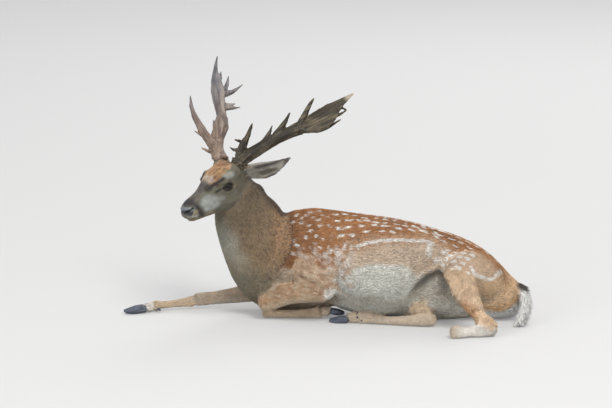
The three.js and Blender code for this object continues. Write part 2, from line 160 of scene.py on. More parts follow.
def turned_out(ob):
    """Faces made to point outwards."""
    bm = bmesh.new()
    bm.from_mesh(ob.data)
    bmesh.ops.recalc_face_normals(bm, faces=bm.faces)
    bm.to_mesh(ob.data)
    bm.free()


def baked(ob):
    """The object with its modifiers made real."""
    me = bpy.data.meshes.new_from_object(ob.evaluated_get(bpy.context.evaluated_depsgraph_get()))
    old = ob.data
    ob.modifiers.clear()
    ob.data = me
    bpy.data.meshes.remove(old)
    return ob


def joined(name, names, grow):
    """Copies of CAD nodes, a little fatter, in one mesh."""
    whole = bmesh.new()
    for node_name in names:
        part = bmesh.new()
        part.from_mesh(nodes[node_name].data)
        bmesh.ops.remove_doubles(part, verts=part.verts, dist=2e-5)
        part.normal_update()
        shift = [v.normal * grow for v in part.verts]
        for v, s in zip(part.verts, shift):
            v.co += s
        me = bpy.data.meshes.new("part")
        part.to_mesh(me)
        part.free()
        whole.from_mesh(me)
        bpy.data.meshes.remove(me)
    me = bpy.data.meshes.new(name)
    whole.to_mesh(me)
    whole.free()
    return link(name, me)


def remeshed(name, names, voxel, grow):
    ob = joined(name, names, grow)
    mod = ob.modifiers.new("voxels", "REMESH")
    mod.mode = "VOXEL"
    mod.voxel_size = voxel
    return baked(ob)


def fewer(ob, ratio, group=""):
    """The mesh with a share of its faces, most of them taken from outside the group."""
    mod = ob.modifiers.new("fewer", "DECIMATE")
    mod.ratio = ratio
    mod.vertex_group = group
    baked(ob)


def read(items, what, width, kind=np.float32):
    """One value of every vertex, edge or corner, as the rows of an array."""
    values = np.empty(len(items) * width, dtype=kind)
    items.foreach_get(what, values)
    return values.reshape(-1, width)


def points_of(ob):
    return read(ob.data.vertices, "co", 3).astype(np.float64)


def set_points(ob, co):
    ob.data.vertices.foreach_set("co", co.astype(np.float32).ravel())
    ob.data.update()


def normals_of(ob):
    ob.data.update()
    return read(ob.data.vertices, "normal", 3).astype(np.float64)


def edges_of(ob):
    return read(ob.data.edges, "vertices", 2, np.int32)


def make_tree(ob):
    me = ob.data
    me.calc_loop_triangles()
    return BVHTree.FromPolygons([v.co for v in me.vertices], [t.vertices for t in me.loop_triangles])


def snapped(path, tree):
    """A head-frame line laid on a surface, in short steps."""
    path = np.array(path, float)
    t = np.linspace(0, len(path) - 1, 5 * (len(path) - 1) + 1)
    dense = np.stack([np.interp(t, range(len(path)), path[:, k]) for k in range(3)], 1)
    return [in_head(np.array([tree.find_nearest(Vector(from_head(p)))[0]]))[0] for p in dense]


def relax(values, edges, rounds, weight=1.0):
    """Averages values over mesh neighbours; weight may differ from point to point."""
    a, b = edges.T
    n = len(values)
    ab, ba = np.r_[a, b], np.r_[b, a]
    count = np.maximum(np.bincount(ab, minlength=n), 1)[:, None]
    w = np.broadcast_to(np.asarray(weight, dtype=float).reshape(-1, 1), (n, 1)) * 0.6
    for _ in range(rounds):
        mean = np.stack([np.bincount(ab, values[ba, k], n) for k in range(values.shape[1])], 1) / count
        values = values + w * (mean - values)
    return values


def rounds_for(reach, voxel):
    """How many rounds of relax smooth a mesh over this length."""
    return int(reach ** 2 / (0.3 * voxel ** 2))


# ---- the CAD nodes ----
def nearest_node(points, names, spacing=0.012):
    """For each point, the index in names of the CAD node whose surface is closest."""
    trees = []
    for name in names:
        me = nodes[name].data
        trees.append(BVHTree.FromPolygons([v.co for v in me.vertices], [p.vertices for p in me.polygons]))
    cells, back = np.unique(np.round(points / spacing).astype(np.int64), axis=0, return_inverse=True)
    best = np.zeros(len(cells), dtype=int)
    for i, c in enumerate(cells * spacing):
        p = Vector(c)
        best[i] = int(np.argmin([(t.find_nearest(p, 0.4)[3] or 9) for t in trees]))
    return best[back.ravel()]


def vertices_of(name):
    return np.array([v.co for v in nodes[name].data.vertices])


def centre_of(name):
    return vertices_of(name).mean(0)


def long_axis(name):
    verts = vertices_of(name)
    return np.linalg.svd(verts - verts.mean(0), full_matrices=False)[2][0]


def joint_between(first, second):
    """The middle of the place where two neighbouring nodes meet."""
    one, two = vertices_of(first), vertices_of(second)
    apart = np.linalg.norm(one[:, None] - two[None], axis=2)
    close = apart < apart.min() + 0.006
    return (one[close.any(1)].mean(0) + two[close.any(0)].mean(0)) / 2


FETLOCKS = [joint_between(f"{leg}_{'cannon' if leg[0] == 'f' else 'metatarsus'}", f"{leg}_pastern")
            for leg in LEGS]
CROWNS = [joint_between(f"{leg}_pastern", f"{leg}_claw_outer") for leg in LEGS]
WRISTS = [joint_between(f"{leg}_forearm", f"{leg}_cannon") for leg in LEGS if leg[0] == "f"]

# which bone follows, and the way the hair lies on the parts that are no bones of a leg
NEXT_BONE = {"arm": "forearm", "forearm": "cannon", "cannon": "pastern", "thigh": "shank",
             "shank": "metatarsus", "metatarsus": "pastern", "pastern": "claw_outer"}
LIE = {"neck": (0.5, 0.05, -0.86), "trunk": (1, 0, -0.32), "tail": (0.15, -0.1, -1)}
LIE_ON_HEAD = {"head": (-1, 0, -0.12), "ear_left": (-0.5, 0.85, 0.45), "ear_right": (-0.5, -0.85, 0.45)}


def lie_of_coat(name):
    """The way the hair lies on a node, as a direction; on a leg it runs down the bone."""
    if name in LIE:
        return unit(np.array(LIE[name]))
    if name in LIE_ON_HEAD:
        return unit(np.array(LIE_ON_HEAD[name]) @ HEAD_AXES)
    leg, bone = name.rsplit("_", 1)
    axis = long_axis(name)
    return axis * (1 if axis @ (centre_of(f"{leg}_{NEXT_BONE[bone]}") - centre_of(name)) > 0 else -1)


# for each part: how softly the skin is rounded and how deep its coat is, then of a tuft the distance
# to the next root, the length, the width and the height of the tip over the skin
COAT_TABLE = {"trunk": (1.0, 0.005, 0.0036, 0.0155, 0.0030, 0.0034),
              "neck": (0.8, 0.005, 0.0034, 0.0140, 0.0027, 0.0026),
              "tail": (0.2, 0.006, 0.0022, 0.0300, 0.0026, 0.0060),
              "head": (0.03, 0.0018, 0.0021, 0.0075, 0.0015, 0.0013),
              "ear": (0.015, 0.0012, 0.0022, 0.0080, 0.0015, 0.0010),
              "thigh": (0.6, 0.004, 0.0034, 0.0145, 0.0029, 0.0030),
              "shank": (0.2, 0.003, 0.0031, 0.0125, 0.0026, 0.0024),
              "metatarsus": (0.05, 0.0018, 0.0025, 0.0100, 0.0020, 0.0015),
              "pastern": (0.03, 0.0018, 0.0024, 0.0090, 0.0019, 0.0015),
              "arm": (0.3, 0.003, 0.0033, 0.0135, 0.0027, 0.0026),
              "forearm": (0.12, 0.0022, 0.0029, 0.0110, 0.0023, 0.0018),
              "cannon": (0.05, 0.0018, 0.0025, 0.0095, 0.0020, 0.0015)}
PARTS = list(COAT_TABLE)
SOFTNESS, DEPTH, *TUFT = np.array(list(COAT_TABLE.values())).T
TUFT_TABLE = np.array(TUFT).T.copy()
SPACING, LENGTH, WIDTH, RISE = range(4)
PART_OF = np.array([next(k for k, p in enumerate(PARTS) if name.startswith(p) or name.endswith("_" + p))
                    for name in FLESH])

# ---- eyes and lines of the face, in the head frame ----
EYE_AT = {1: np.array([-3, 41.0, -1]), -1: np.array([-3, -41.0, -1])}
EYE_RADIUS = 17.0
EYE_HALF = 16.0
LID_RADIUS = 18.6
LID_REACH = 11

BROW_LINE = [(60, 19, -6), (46, 26, 3), (33, 35, 14), (17, 45, 25)]
BROW_RIDGE = [(8, 44, 36), (-12, 46, 36)]
TEAR_LINE = [(15, 46, -4), (26, 42, -9), (36, 37, -15)]
NOSTRIL_LINE = [(137, 8, -69), (131, 18, -64), (116, 25, -57)]


def eye_axes(side):
    """Outward, forward along the slit, and up, in the head's frame."""
    out = unit(np.array([0.22, 1.0 * side, 0.08]))
    fore = np.array([1.0, 0, -0.15])
    fore = unit(fore - out * (fore @ out))
    up = np.cross(out, fore) * side
    return out, fore, up * np.sign(up[2])


def lid_edges(p):
    """Heights of the upper and lower lid edge across the eye, front corner at p = 1."""
    arch = np.clip(1 - p * p, 0, 1)
    return 8.3 * arch ** 0.50 * (1 - 0.10 * p), -7.6 * arch ** 0.80 * (1 + 0.15 * p)


def eye_slit(q, side):
    """Signed height outside the eye's opening, distance from the eye's centre and the way from it."""
    out, fore, up = eye_axes(side)
    rel = q - EYE_AT[side]
    p, w, ahead = rel @ fore / EYE_HALF, rel @ up, rel @ out
    top, low = lid_edges(p)
    outside = np.maximum(w - top, low - w)
    outside = np.where(np.abs(p) > 1, np.hypot((np.abs(p) - 1) * EYE_HALF, w), outside)
    return np.where(ahead > 4, outside, 40.0), np.linalg.norm(rel, axis=1), rel


# ---- forms of the skin: height over it, place or line, reach ----
HEAD_FORMS = ((2.0, [(14, 50, -22), (-48, 56, -26)], 8.0),  # cheekbone
              (-2.2, [(20, 44, -42), (60, 28, -52)], 13.0),  # hollow in front of the cheek
              (1.6, [(-18, 52, -62), (-52, 50, -44)], 14.0),  # jaw muscle
              (-1.5, [(64, 12, -8), (96, 10, -28)], 9.0),  # dip of the bridge behind the nose
              (6.0, (-68, 45, 47), (18, 16, 16)),  # root of the ear
              (-3.6, [(138, 0, -60), (136, 0, -84)], 2.2),  # groove down the nose
              (1.8, [(112, 22, -74), (126, 16, -78)], 6.0),  # upper lip
              (-3.2, [(134, 0, -89), (120, 17, -88)], 2.2),  # mouth
              (-2.8, [(120, 17, -88), (76, 23, -86)], 2.2))
BEHIND_ANTLER = np.array([-0.2598, -0.057, 0.490])  # between the antler and the root of the left ear


def shape_head(co, face, tree):
    """Lids, tear slit, cheekbone, nostrils, nose and mouth. face picks the points of the head."""
    q = in_head(co[face])
    middle = np.clip(q[:, 0], -60, 112)
    n = unit(q - np.c_[middle, np.zeros(len(q)), -8 - 0.5 * middle])
    x, y, z = q.T
    folded = np.c_[x, np.abs(y), z]
    slit = snapped(NOSTRIL_LINE, tree)
    on_skin = ((-3.0, snapped(TEAR_LINE, tree), 2.8), (-2.6, snapped(BROW_LINE[1:], tree), 3.2),
               (2.2, snapped(BROW_RIDGE, tree), 9.0), (-6.5, slit[:6], 3.4), (-4.2, slit[5:], 2.6),
               (1.6, [p + np.array([2, 0, 6]) for p in slit], 4.0))
    push = np.zeros(len(q))
    for height, place, reach in on_skin + HEAD_FORMS:
        push += height * mark(folded, place, reach)
    q = q + n * push[:, None]
    chin = step(96, 128, x) * step(-86, -93, z)
    q[:, 0] -= 9 * chin
    q[:, 1] *= 1 - 0.12 * chin
    for side in (1, -1):
        outside, radius, rel = eye_slit(q, side)
        lid = (outside < LID_REACH) & (radius < 32)
        want = np.where(outside < 0, EYE_RADIUS - 5, LID_RADIUS - 0.8 * bump(outside, 4.6, 1.3))
        blended = radius + (want - radius) * fall(5, LID_REACH, outside)
        new = np.where((outside < 0) | (radius < want), want, blended)
        q[lid] = (EYE_AT[side] + rel / radius[:, None] * new[:, None])[lid]
    co[face] = from_head(q)
    return co + (BEHIND_ANTLER - co) * 0.6 * near(co, BEHIND_ANTLER, 0.015)[:, None]


def crease_x(z):
    """Where the neck meets the shoulder, at a height."""
    return np.interp(z, [0.12, 0.170, 0.199, 0.237, 0.278, 0.316, 0.35],
                     [-0.172, -0.146, -0.126, -0.108, -0.106, -0.114, -0.130])


FLANK_FOLD = np.array([(0.415, 0.130), (0.398, 0.168), (0.363, 0.184), (0.320, 0.170), (0.288, 0.138),
                       (0.263, 0.093), (0.250, 0.05)])
ARM_FOLD = [(-0.072, -0.128, 0.156), (-0.052, -0.142, 0.148), (-0.028, -0.147, 0.136),
            (-0.002, -0.146, 0.121), (0.022, -0.143, 0.106)]
ELBOW_FOLD = [(0.058, 0, 0.205), (0.047, 0, 0.18), (0.042, 0, 0.12)]
SOFT_BELLY = ((0.085, -0.070, 0.045), (0.075, 0.060, 0.040))
BODY_FORMS = ((-0.0075, ARM_FOLD, 0.0075),
              (-0.0016, [(0.004, -0.138, 0.094), (-0.075, -0.124, 0.082), (-0.150, -0.104, 0.062)], 0.006),
              (-0.0022, [(0.490, -0.215, 0.085), (0.520, -0.252, 0.058), (0.540, -0.268, 0.044)], 0.006),
              (0.0030, [(-0.196, -0.098, 0.055), (-0.186, -0.104, 0.030)], 0.014),  # knee
              (0.0030, (-0.204, -0.100, 0.046), (0.020, 0.040, 0.022)),
              (-0.0050, (0.500, -0.232, 0.064), (0.034, 0.034, 0.026)),  # above the hock
              (-0.0030, (0.470, -0.279, 0.018), (0.032, 0.03, 0.03)),
              (0.0028, (0.562, -0.262, 0.034), (0.020, 0.024, 0.024)),  # heel
              *((0.0030, joint, 0.026) for joint in FETLOCKS))


def in_groin(co):
    """Distance inside the arch of the left flank fold, seen from the side; negative outside."""
    flat = np.c_[co[:, 0], co[:, 2]]
    best, sign = np.full(len(co), 9.0), np.ones(len(co))
    for a, b in zip(FLANK_FOLD, FLANK_FOLD[1:]):
        off = off_segment(flat, a, b)
        d = np.linalg.norm(off, axis=1)
        cross = (b - a)[0] * off[:, 1] - (b - a)[1] * off[:, 0]
        closer = d < best
        best, sign = np.where(closer, d, best), np.where(closer, np.sign(cross), sign)
    return best * sign


def shape_body(co, normal):
    """Folds and grooves of the body and legs."""
    x, y, z = co.T
    crease, shoulder = crease_x(z), step(0.15, 0.19, z)
    push = -0.0035 * bump(x, crease, 0.006) * shoulder * fall(0.31, 0.34, z)
    push += 0.0026 * bump(x, crease + 0.016, 0.010) * shoulder * fall(0.28, 0.32, z)
    push -= 0.0045 * path_near(np.c_[x, y * 0, z], ELBOW_FOLD, 0.008) * step(0.06, 0.09, -y)
    push += 0.0110 * near(co, *SOFT_BELLY) * fall(0.06, 0.09, z)
    for height, place, reach in BODY_FORMS:
        push += height * mark(co, place, reach)
    inside = in_groin(co)
    flank = step(0.04, 0.07, -y) * step(0.06, 0.12, z) * (x > 0.24) * (x < 0.43)
    push -= 0.012 * flank * step(-0.003, 0.009, inside) * fall(0.02, 0.055, inside)
    push += 0.0035 * flank * bump(inside, -0.008, 0.008)
    return co + normal * push[:, None]


# ---- skin ----
def smoothed_skin(skin):
    """Rounds the skin as softly as each part asks, more at the joints and over the haunch."""
    co, edges = points_of(skin), edges_of(skin)
    soft = relax(SOFTNESS[PART_OF][nearest_node(co, FLESH)][:, None], edges, 12)[:, 0]
    soft *= 1 - 0.6 * near(co, (0.34, -0.13, 0.14), (0.10, 0.10, 0.09))  # the groin keeps its form
    soft += 0.16 * near(in_head(co), (132, 0, -66), (26, 44, 34))  # nose
    soft += 0.30 * near(co, (-0.192, -0.090, 0.018), (0.040, 0.060, 0.040))  # knee
    for joint in FETLOCKS + WRISTS:
        soft += 0.14 * near(co, joint, 0.024)
    rounds = rounds_for(0.018, SKIN_VOXEL)
    co = relax(co, edges, rounds, soft)
    haunch = near(co, (0.455, -0.135, 0.215), (0.085, 0.075, 0.055))
    haunch += near(co, (0.53, -0.11, 0.18), (0.09, 0.08, 0.07))
    set_points(skin, relax(co, edges, rounds, np.clip(haunch, 0, 1)))


def refine_face(skin):
    """A finer mesh round the eyes and on the nose and mouth."""
    q = in_head(points_of(skin))
    fine = (q[:, 0] > 70) & (np.abs(q[:, 1]) < 40) & (q[:, 2] < 0) & (q[:, 2] > -110)
    for side in (1, -1):
        fine |= np.linalg.norm(q - EYE_AT[side] - np.array([6, 0, -4]), axis=1) < 34
    bm = bmesh.new()
    bm.from_mesh(skin.data)
    bm.verts.ensure_lookup_table()
    chosen = [e for e in bm.edges if fine[e.verts[0].index] and fine[e.verts[1].index]]
    bmesh.ops.subdivide_edges(bm, edges=chosen, cuts=1, use_grid_fill=True)
    bmesh.ops.triangulate(bm, faces=[f for f in bm.faces if len(f.verts) > 3])
    bm.to_mesh(skin.data)
    bm.free()


def make_skin():
    """One seamless skin over all the flesh, drawn in by the depth of the coat."""
    skin = remeshed("skin", FLESH + ["eye_left", "eye_right"], SKIN_VOXEL, SKIN_GROWTH)
    smoothed_skin(skin)
    refine_face(skin)
    co, edges = points_of(skin), edges_of(skin)
    region = nearest_node(co, FLESH)
    depth = relax(DEPTH[PART_OF][region][:, None], edges, 14)[:, 0]
    from_eye = np.minimum(*[np.linalg.norm(in_head(co) - EYE_AT[s], axis=1) for s in (1, -1)])
    depth *= step(20, 34, from_eye) * 0.85 + 0.15
    co = co - normals_of(skin) * depth[:, None]
    set_points(skin, co)
    co = shape_body(co, normals_of(skin))
    is_head = np.array([name == "head" for name in FLESH])[region]
    co = shape_head(co, is_head, make_tree(skin))
    co[:, 2] = np.maximum(co[:, 2], SKIN_HEIGHT)
    set_points(skin, co)
    group = skin.vertex_groups.new(name="head")
    for i in np.nonzero(~is_head)[0]:
        group.add([int(i)], 1.0, "REPLACE")
    fewer(skin, SKIN_FACES / len(skin.data.polygons), "head")
    skin.vertex_groups.clear()
    return skin


skin = make_skin()
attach(skin, "root")
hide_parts(*FLESH)


# ---- colours ----
def paint(r, g, b):
    c = np.array([r, g, b]) / 255
    return np.where(c <= 0.04045, c / 12.92, ((c + 0.055) / 1.055) ** 2.4)


RUST, RUST_DEEP, FAWN = paint(176, 124, 78), paint(136, 90, 54), paint(206, 185, 163)
CREAM, BLACK = paint(244, 244, 241), paint(36, 32, 30)
HAUNCH, RUMP, FRINGE = paint(210, 182, 154), paint(220, 188, 150), paint(212, 166, 110)
BELLY, BELLY_SHADED, HOCK = paint(214, 215, 207), paint(178, 168, 146), paint(196, 140, 92)
NECK, NECK_SUNLIT, NAPE = paint(152, 129, 100), paint(194, 152, 114), paint(76, 63, 53)
THROAT, CHEST = paint(172, 169, 155), paint(138, 131, 110)
LEG, LEG_PALE, LEG_GREY = paint(192, 158, 124), paint(214, 198, 174), paint(182, 174, 160)
CANNON, SHANK = paint(216, 196, 168), paint(238, 210, 178)
FACE, CHEEK, OLIVE = paint(126, 121, 104), paint(186, 190, 186), paint(96, 87, 68)
BROW, FOREHEAD, SLATE = paint(58, 49, 42), paint(190, 150, 106), paint(84, 80, 82)
MUZZLE, CHIN, LIP_TAN = paint(62, 57, 58), paint(206, 204, 196), paint(170, 154, 128)
LEATHER, NOSE_TOP_REFLECTION, LID_RING = paint(46, 45, 48), paint(112, 118, 122), paint(160, 148, 118)
EAR_BACK, EAR_EDGE, EAR_IN = paint(124, 115, 108), paint(60, 54, 54), paint(184, 180, 168)
IRIS, IRIS_RIM, PUPIL = paint(38, 25, 16), paint(14, 10, 9), paint(6, 7, 10)
WHITE_OF_EYE, LID_DARK, LID_LIGHT = paint(34, 25, 20), paint(18, 15, 14), paint(40, 33, 29)
HORN_DARK, HORN_LIGHT = paint(46, 51, 62), paint(86, 93, 108)
# each antler in its hollows, plain, towards its tip and where it is worn
ANTLER_TINTS_LEFT_SHADED = {
    # the left antler is darker than the right: dark brown bone with painted shade over it
    "left": (paint(24, 20, 14), paint(42, 36, 25), paint(60, 53, 39), paint(140, 126, 102)),
    "right": (paint(58, 48, 44), paint(128, 108, 94), paint(112, 112, 116), paint(182, 166, 150))}
RUBBED_TIP = paint(196, 182, 162)


# ---- white spots ----
def spine_height(x):
    return np.interp(x, [-0.14, -0.05, 0.075, 0.237, 0.336, 0.44, 0.52, 0.56, 0.61],
                     [0.341, 0.357, 0.341, 0.321, 0.30, 0.261, 0.218, 0.185, 0.132])


BELOW_SPINE = 0.17  # the middle of the body


def round_body(points):
    """Degrees round the body from the spine, the same on both sides."""
    x, y, z = points.T
    return np.degrees(np.arctan2(np.abs(y), z - spine_height(x) + BELOW_SPINE))


def line_angle(x):
    """Where the flank line runs round the body, at a length along it."""
    return np.interp(x, [0.04, 0.108, 0.17, 0.265, 0.33, 0.36], [64, 55, 47, 39, 29, 28])


skin_tree = make_tree(skin)


def on_body(x, angle, side):
    """The skin's point at a length along the body and an angle from the spine."""
    a = math.radians(angle)
    out = Vector((0, math.sin(a) * side, math.cos(a)))
    middle = Vector((x, 0, float(spine_height(x)) - BELOW_SPINE))
    hit = skin_tree.ray_cast(middle + out * 0.45, -out)[0]
    return hit if hit else middle + out * BELOW_SPINE


# rows on the back: share of the way to the flank line, half length, half width and gap
BACK_ROWS = ((0.12, 0.0105, 0.0040, 0.032), (0.30, 0.0120, 0.0044, 0.033), (0.48, 0.0125, 0.0048, 0.036),
             (0.68, 0.0110, 0.0048, 0.042))
SHOULDER_SPOTS, SHOULDER_GAP = 26, 0.0165
CROUP_ANGLES, THIGH_ANGLES = (6, 17, 28), (35, 43, 50, 57)
# blotches where the flank line begins: length along, angle, half length and half width in millimetres
BLOTCHES = ((0.060, 58, 5, 12), (0.083, 57, 5, 10), (0.040, 66, 9, 9), (0.018, 62, 8, 8))
HAUNCH_LINE = ([0.485, 0.51, 0.531, 0.547, 0.557, 0.57], [53.5, 50.4, 46, 38.4, 31, 20])


def make_spots():
    """White spots as rows of centre, direction, half length, half width and strength, on both flanks."""
    rng = np.random.default_rng(7)
    spots = []

    def add(x, angle, side, length, width, slant=0.0, strength=1.0):
        here, ahead = on_body(x, angle, side), on_body(x + 0.012, angle + slant, side)
        spots.append((*here, *(ahead - here).normalized(), length, width, strength))

    for side in (-1, 1):
        for row, (share, length, width, gap) in enumerate(BACK_ROWS):
            x = 0.022 + 0.009 * row
            while x < 0.37:
                if row < 3 or x < 0.24:
                    size = rng.uniform(0.7, 1.2)
                    add(x, line_angle(x) * share + rng.uniform(-2.2, 2.2), side, length * size,
                        width * rng.uniform(0.8, 1.15), rng.uniform(-1.5, 1.5))
                x += gap * rng.uniform(0.75, 1.25)
        taken = []
        while len(taken) < SHOULDER_SPOTS:  # small and round, kept clear of one another
            x, angle = rng.uniform(-0.118, 0.012), rng.uniform(5, 66)
            here = np.array(on_body(x, angle, side))
            if all(np.linalg.norm(here - other) > SHOULDER_GAP for other in taken):
                taken.append(here)
                size = rng.uniform(0.0034, 0.0056)
                add(x, angle, side, size * rng.uniform(1.1, 1.7), size, rng.uniform(-3, 3),
                    rng.uniform(0.5, 0.95))
        for row, angle in enumerate(CROUP_ANGLES):
            x = 0.36 + 0.012 * row
            while x < 0.55 - 0.03 * row:
                add(x, angle + rng.uniform(-1.5, 1.5), side, rng.uniform(0.008, 0.0125), 0.0040, 0, 0.9)
                x += rng.uniform(0.026, 0.038)
        for row, angle in enumerate(THIGH_ANGLES):
            x = 0.376 + 0.011 * (row % 2)
            while x < 0.482:
                size = rng.uniform(0.0080, 0.0118)
                add(x, angle + rng.uniform(-1.5, 1.5), side, size, size * 0.60, rng.uniform(-2, 3),
                    rng.uniform(0.8, 1))
                x += rng.uniform(0.021, 0.030)
        add(0.362, 47, side, 0.013, 0.008, -3, 0.55)
        for x in np.arange(0.108, 0.33, 0.009):  # flank line
            add(x, line_angle(x) + rng.uniform(-0.7, 0.7), side, 0.012, 0.0066, -1.5, 0.8)
        for k in range(5):  # its end turns down
            add(0.330 - 0.001 * k, 31 + 4 * k, side, 0.0095, 0.0085, 0, 0.8)
        add(0.352, 50, side, 0.012, 0.008, -3, 0.8)
        for x in np.arange(0.484, 0.572, 0.007):
            low = np.interp([x, x + 0.012], *HAUNCH_LINE)
            add(x, low[0], side, 0.0095, 0.0060, low[1] - low[0], rng.uniform(0.7, 1))
        for x, angle, length, width in BLOTCHES:
            add(x, angle, side, length / 1000, width / 1000, 0, 0.75)
        for k in range(16):  # pale flecks behind the shoulder
            size = rng.uniform(0.006, 0.013)
            add(rng.uniform(-0.005, 0.06), rng.uniform(60, 88), side, size, size * 0.8, 0,
                rng.uniform(0.25, 0.55))
        for k in range(14):  # and on it
            size = rng.uniform(0.003, 0.006)
            add(rng.uniform(-0.10, -0.01), rng.uniform(58, 80), side, size, size, 0,
                rng.uniform(0.3, 0.6))
    return np.array(spots)


SPOTS = make_spots()


BATCH = 20000


def spot_mask(points):
    """How white each point is, with edges that waver; points are taken in batches to spare memory."""
    wobble = points + noise3(points, 0.006, 3) * 0.004
    total = np.zeros(len(points))
    low, high = SPOTS[:, :3].min(0) - 0.03, SPOTS[:, :3].max(0) + 0.03
    inside = np.nonzero(((points > low) & (points < high)).all(1))[0]
    for start in range(0, len(inside), BATCH):
        pick = inside[start:start + BATCH]
        rel = wobble[pick][:, None, :] - SPOTS[None, :, :3]
        along = np.einsum("ijk,jk->ij", rel, SPOTS[:, 3:6])
        across = np.sqrt(np.maximum((rel ** 2).sum(2) - along ** 2, 0))
        d = np.hypot(along / SPOTS[:, 6], across / SPOTS[:, 7])
        total[pick] = (fall(0.80, 1.32, d) * SPOTS[:, 8]).max(1)
    return total


# ---- markings of the coat ----
class Coat:
    """Colours laid one over another on points of the coat, and how bare and moist the skin is there."""

    def __init__(self, points, normals, shares):
        self.points, self.normals = points, normals
        self.part = {name: shares[:, k] for k, name in enumerate(PARTS)}
        self.drift = noise(points, 0.05, 21) - 0.5
        self.fine = noise(points, 0.012, 22) - 0.5
        x, _, z = points.T
        self.angle = round_body(points) + (10 + 22 * fall(0.02, 0.10, x)) * self.drift + 5 * self.fine
        before_shoulder = fall(-0.010, 0.010, x - crease_x(z) + 0.012 * self.fine)
        self.neck = np.clip(self.part["neck"] + self.part["trunk"], 0, 1) * before_shoulder
        self.colour, self.moist = np.tile(FAWN, (len(points), 1)), np.zeros(len(points))

    def lay(self, tint, mask):
        self.colour = self.colour + (tint - self.colour) * np.clip(mask, 0, 1)[:, None]


ELBOW_SHADE = [(0.058, 0, 0.19), (0.047, 0, 0.17), (0.042, 0, 0.12)]


def paint_barrel(coat):
    """Rust above the flank line, fawn under it, a pale belly and a mottled shoulder."""
    points, (x, y, z), lay, body = coat.points, coat.points.T, coat.lay, coat.part["trunk"]
    drift, fine, angle, down = coat.drift, coat.fine, coat.angle, -coat.normals[:, 2]
    edge = np.where(x < 0.06, 84 - 20 * step(-0.03, 0.06, x), line_angle(x))
    edge = np.where(x > 0.33, 24 + 8 * step(0.34, 0.42, x), edge)
    rust = fall(-5, 9, angle - edge)
    lay(RUST, rust)
    lay(RUST_DEEP, rust * fall(3, 16, angle) * 0.5)
    lay(RUST_DEEP, rust * np.clip(fine * 2.2, 0, 0.45))
    lay(HAUNCH, rust * step(0.60, 1.0, angle / edge) * step(0.0, 0.08, x) * 0.55)
    # paler towards the croup: partly the coat's own fawn, partly painted sunlight
    lay(HAUNCH, rust * step(0.18, 0.46, x + 0.1 * drift) * step(4, 20, angle) * 0.42)
    lay(RUST_DEEP, rust * fall(-0.10, 0.0, x + 0.1 * drift) * 0.45)
    pale = 1 - ((x - 0.17) / 0.13) ** 2 - ((z - 0.152) / 0.056) ** 2
    lay(BELLY, body * step(-0.35, 0.35, pale + drift) * 0.9)
    # painted shade: darker low on the body, towards the ground
    lay(BELLY_SHADED, body * fall(0.06, 0.12, z + 0.03 * drift) * 0.85 * step(0.0, 0.08, x))
    lay(BELLY, body * step(0.35, 0.75, down) * step(0.0, 0.06, x) * 0.8)
    lay(CHEST, body * fall(-0.13, -0.02, x) * fall(0.12, 0.2, z) * 0.5)
    lay(BELLY, near(points, (0.355, -0.16, 0.06), (0.13, 0.15, 0.15)) * body * fall(0.17, 0.20, z) * 0.8)
    lay(BELLY, body * near(points, (0.085, -0.075, 0.045), (0.075, 0.060, 0.040)) * 0.8)
    inside = in_groin(points)
    # painted shade: dark brown just inside the arch of the flank fold
    lay(BROW, body * step(0.04, 0.07, -y) * step(-0.002, 0.008, inside) * fall(0.012, 0.04, inside)
        * step(0.10, 0.15, z) * 0.55)
    mottled = np.clip(body + coat.part["arm"], 0, 1) * step(-0.125, -0.09, x) * fall(0.07, 0.11, x)
    mottled *= step(44, 60, angle) * fall(100, 116, angle)
    lay(CREAM, mottled * step(0.52, 0.74, noise(points, 0.017, 61)) * 0.36)
    lay(RUST, mottled * step(0.54, 0.76, noise(points, 0.020, 62)) * 0.55)


# the upper edge of the white on the rump: lengths along the body, heights
WHITE_EDGE = ([0.50, 0.545, 0.573, 0.606, 0.622, 0.63], [0.044, 0.042, 0.050, 0.070, 0.108, 0.13])


def paint_haunches(coat):
    """Fawn haunches, an orange fringe and white under it."""
    (x, _, z), lay, body, thigh = coat.points.T, coat.lay, coat.part["trunk"], coat.part["thigh"]
    drift, angle = coat.drift, coat.angle
    haunch = np.maximum(thigh, body * step(0.36, 0.46, x))
    lay(HAUNCH, haunch * step(20, 40, angle) * 0.85)
    lay(RUST, haunch * fall(14, 34, angle) * 0.9)
    lay(RUMP, (haunch + coat.part["shank"] * step(0.45, 0.50, x)) * step(0.46, 0.54, x + 0.03 * drift)
        * fall(0.12, 0.175, z + 0.02 * drift) * 0.9)
    white = np.interp(x, *WHITE_EDGE)
    lay(FRINGE, haunch * step(0.47, 0.52, x) * fall(0.0, 0.03, z - white + 0.01 * drift))
    lay(CREAM, (body + thigh) * step(0.45, 0.50, x) * fall(-0.010, 0.010, z - white + 0.012 * coat.fine))


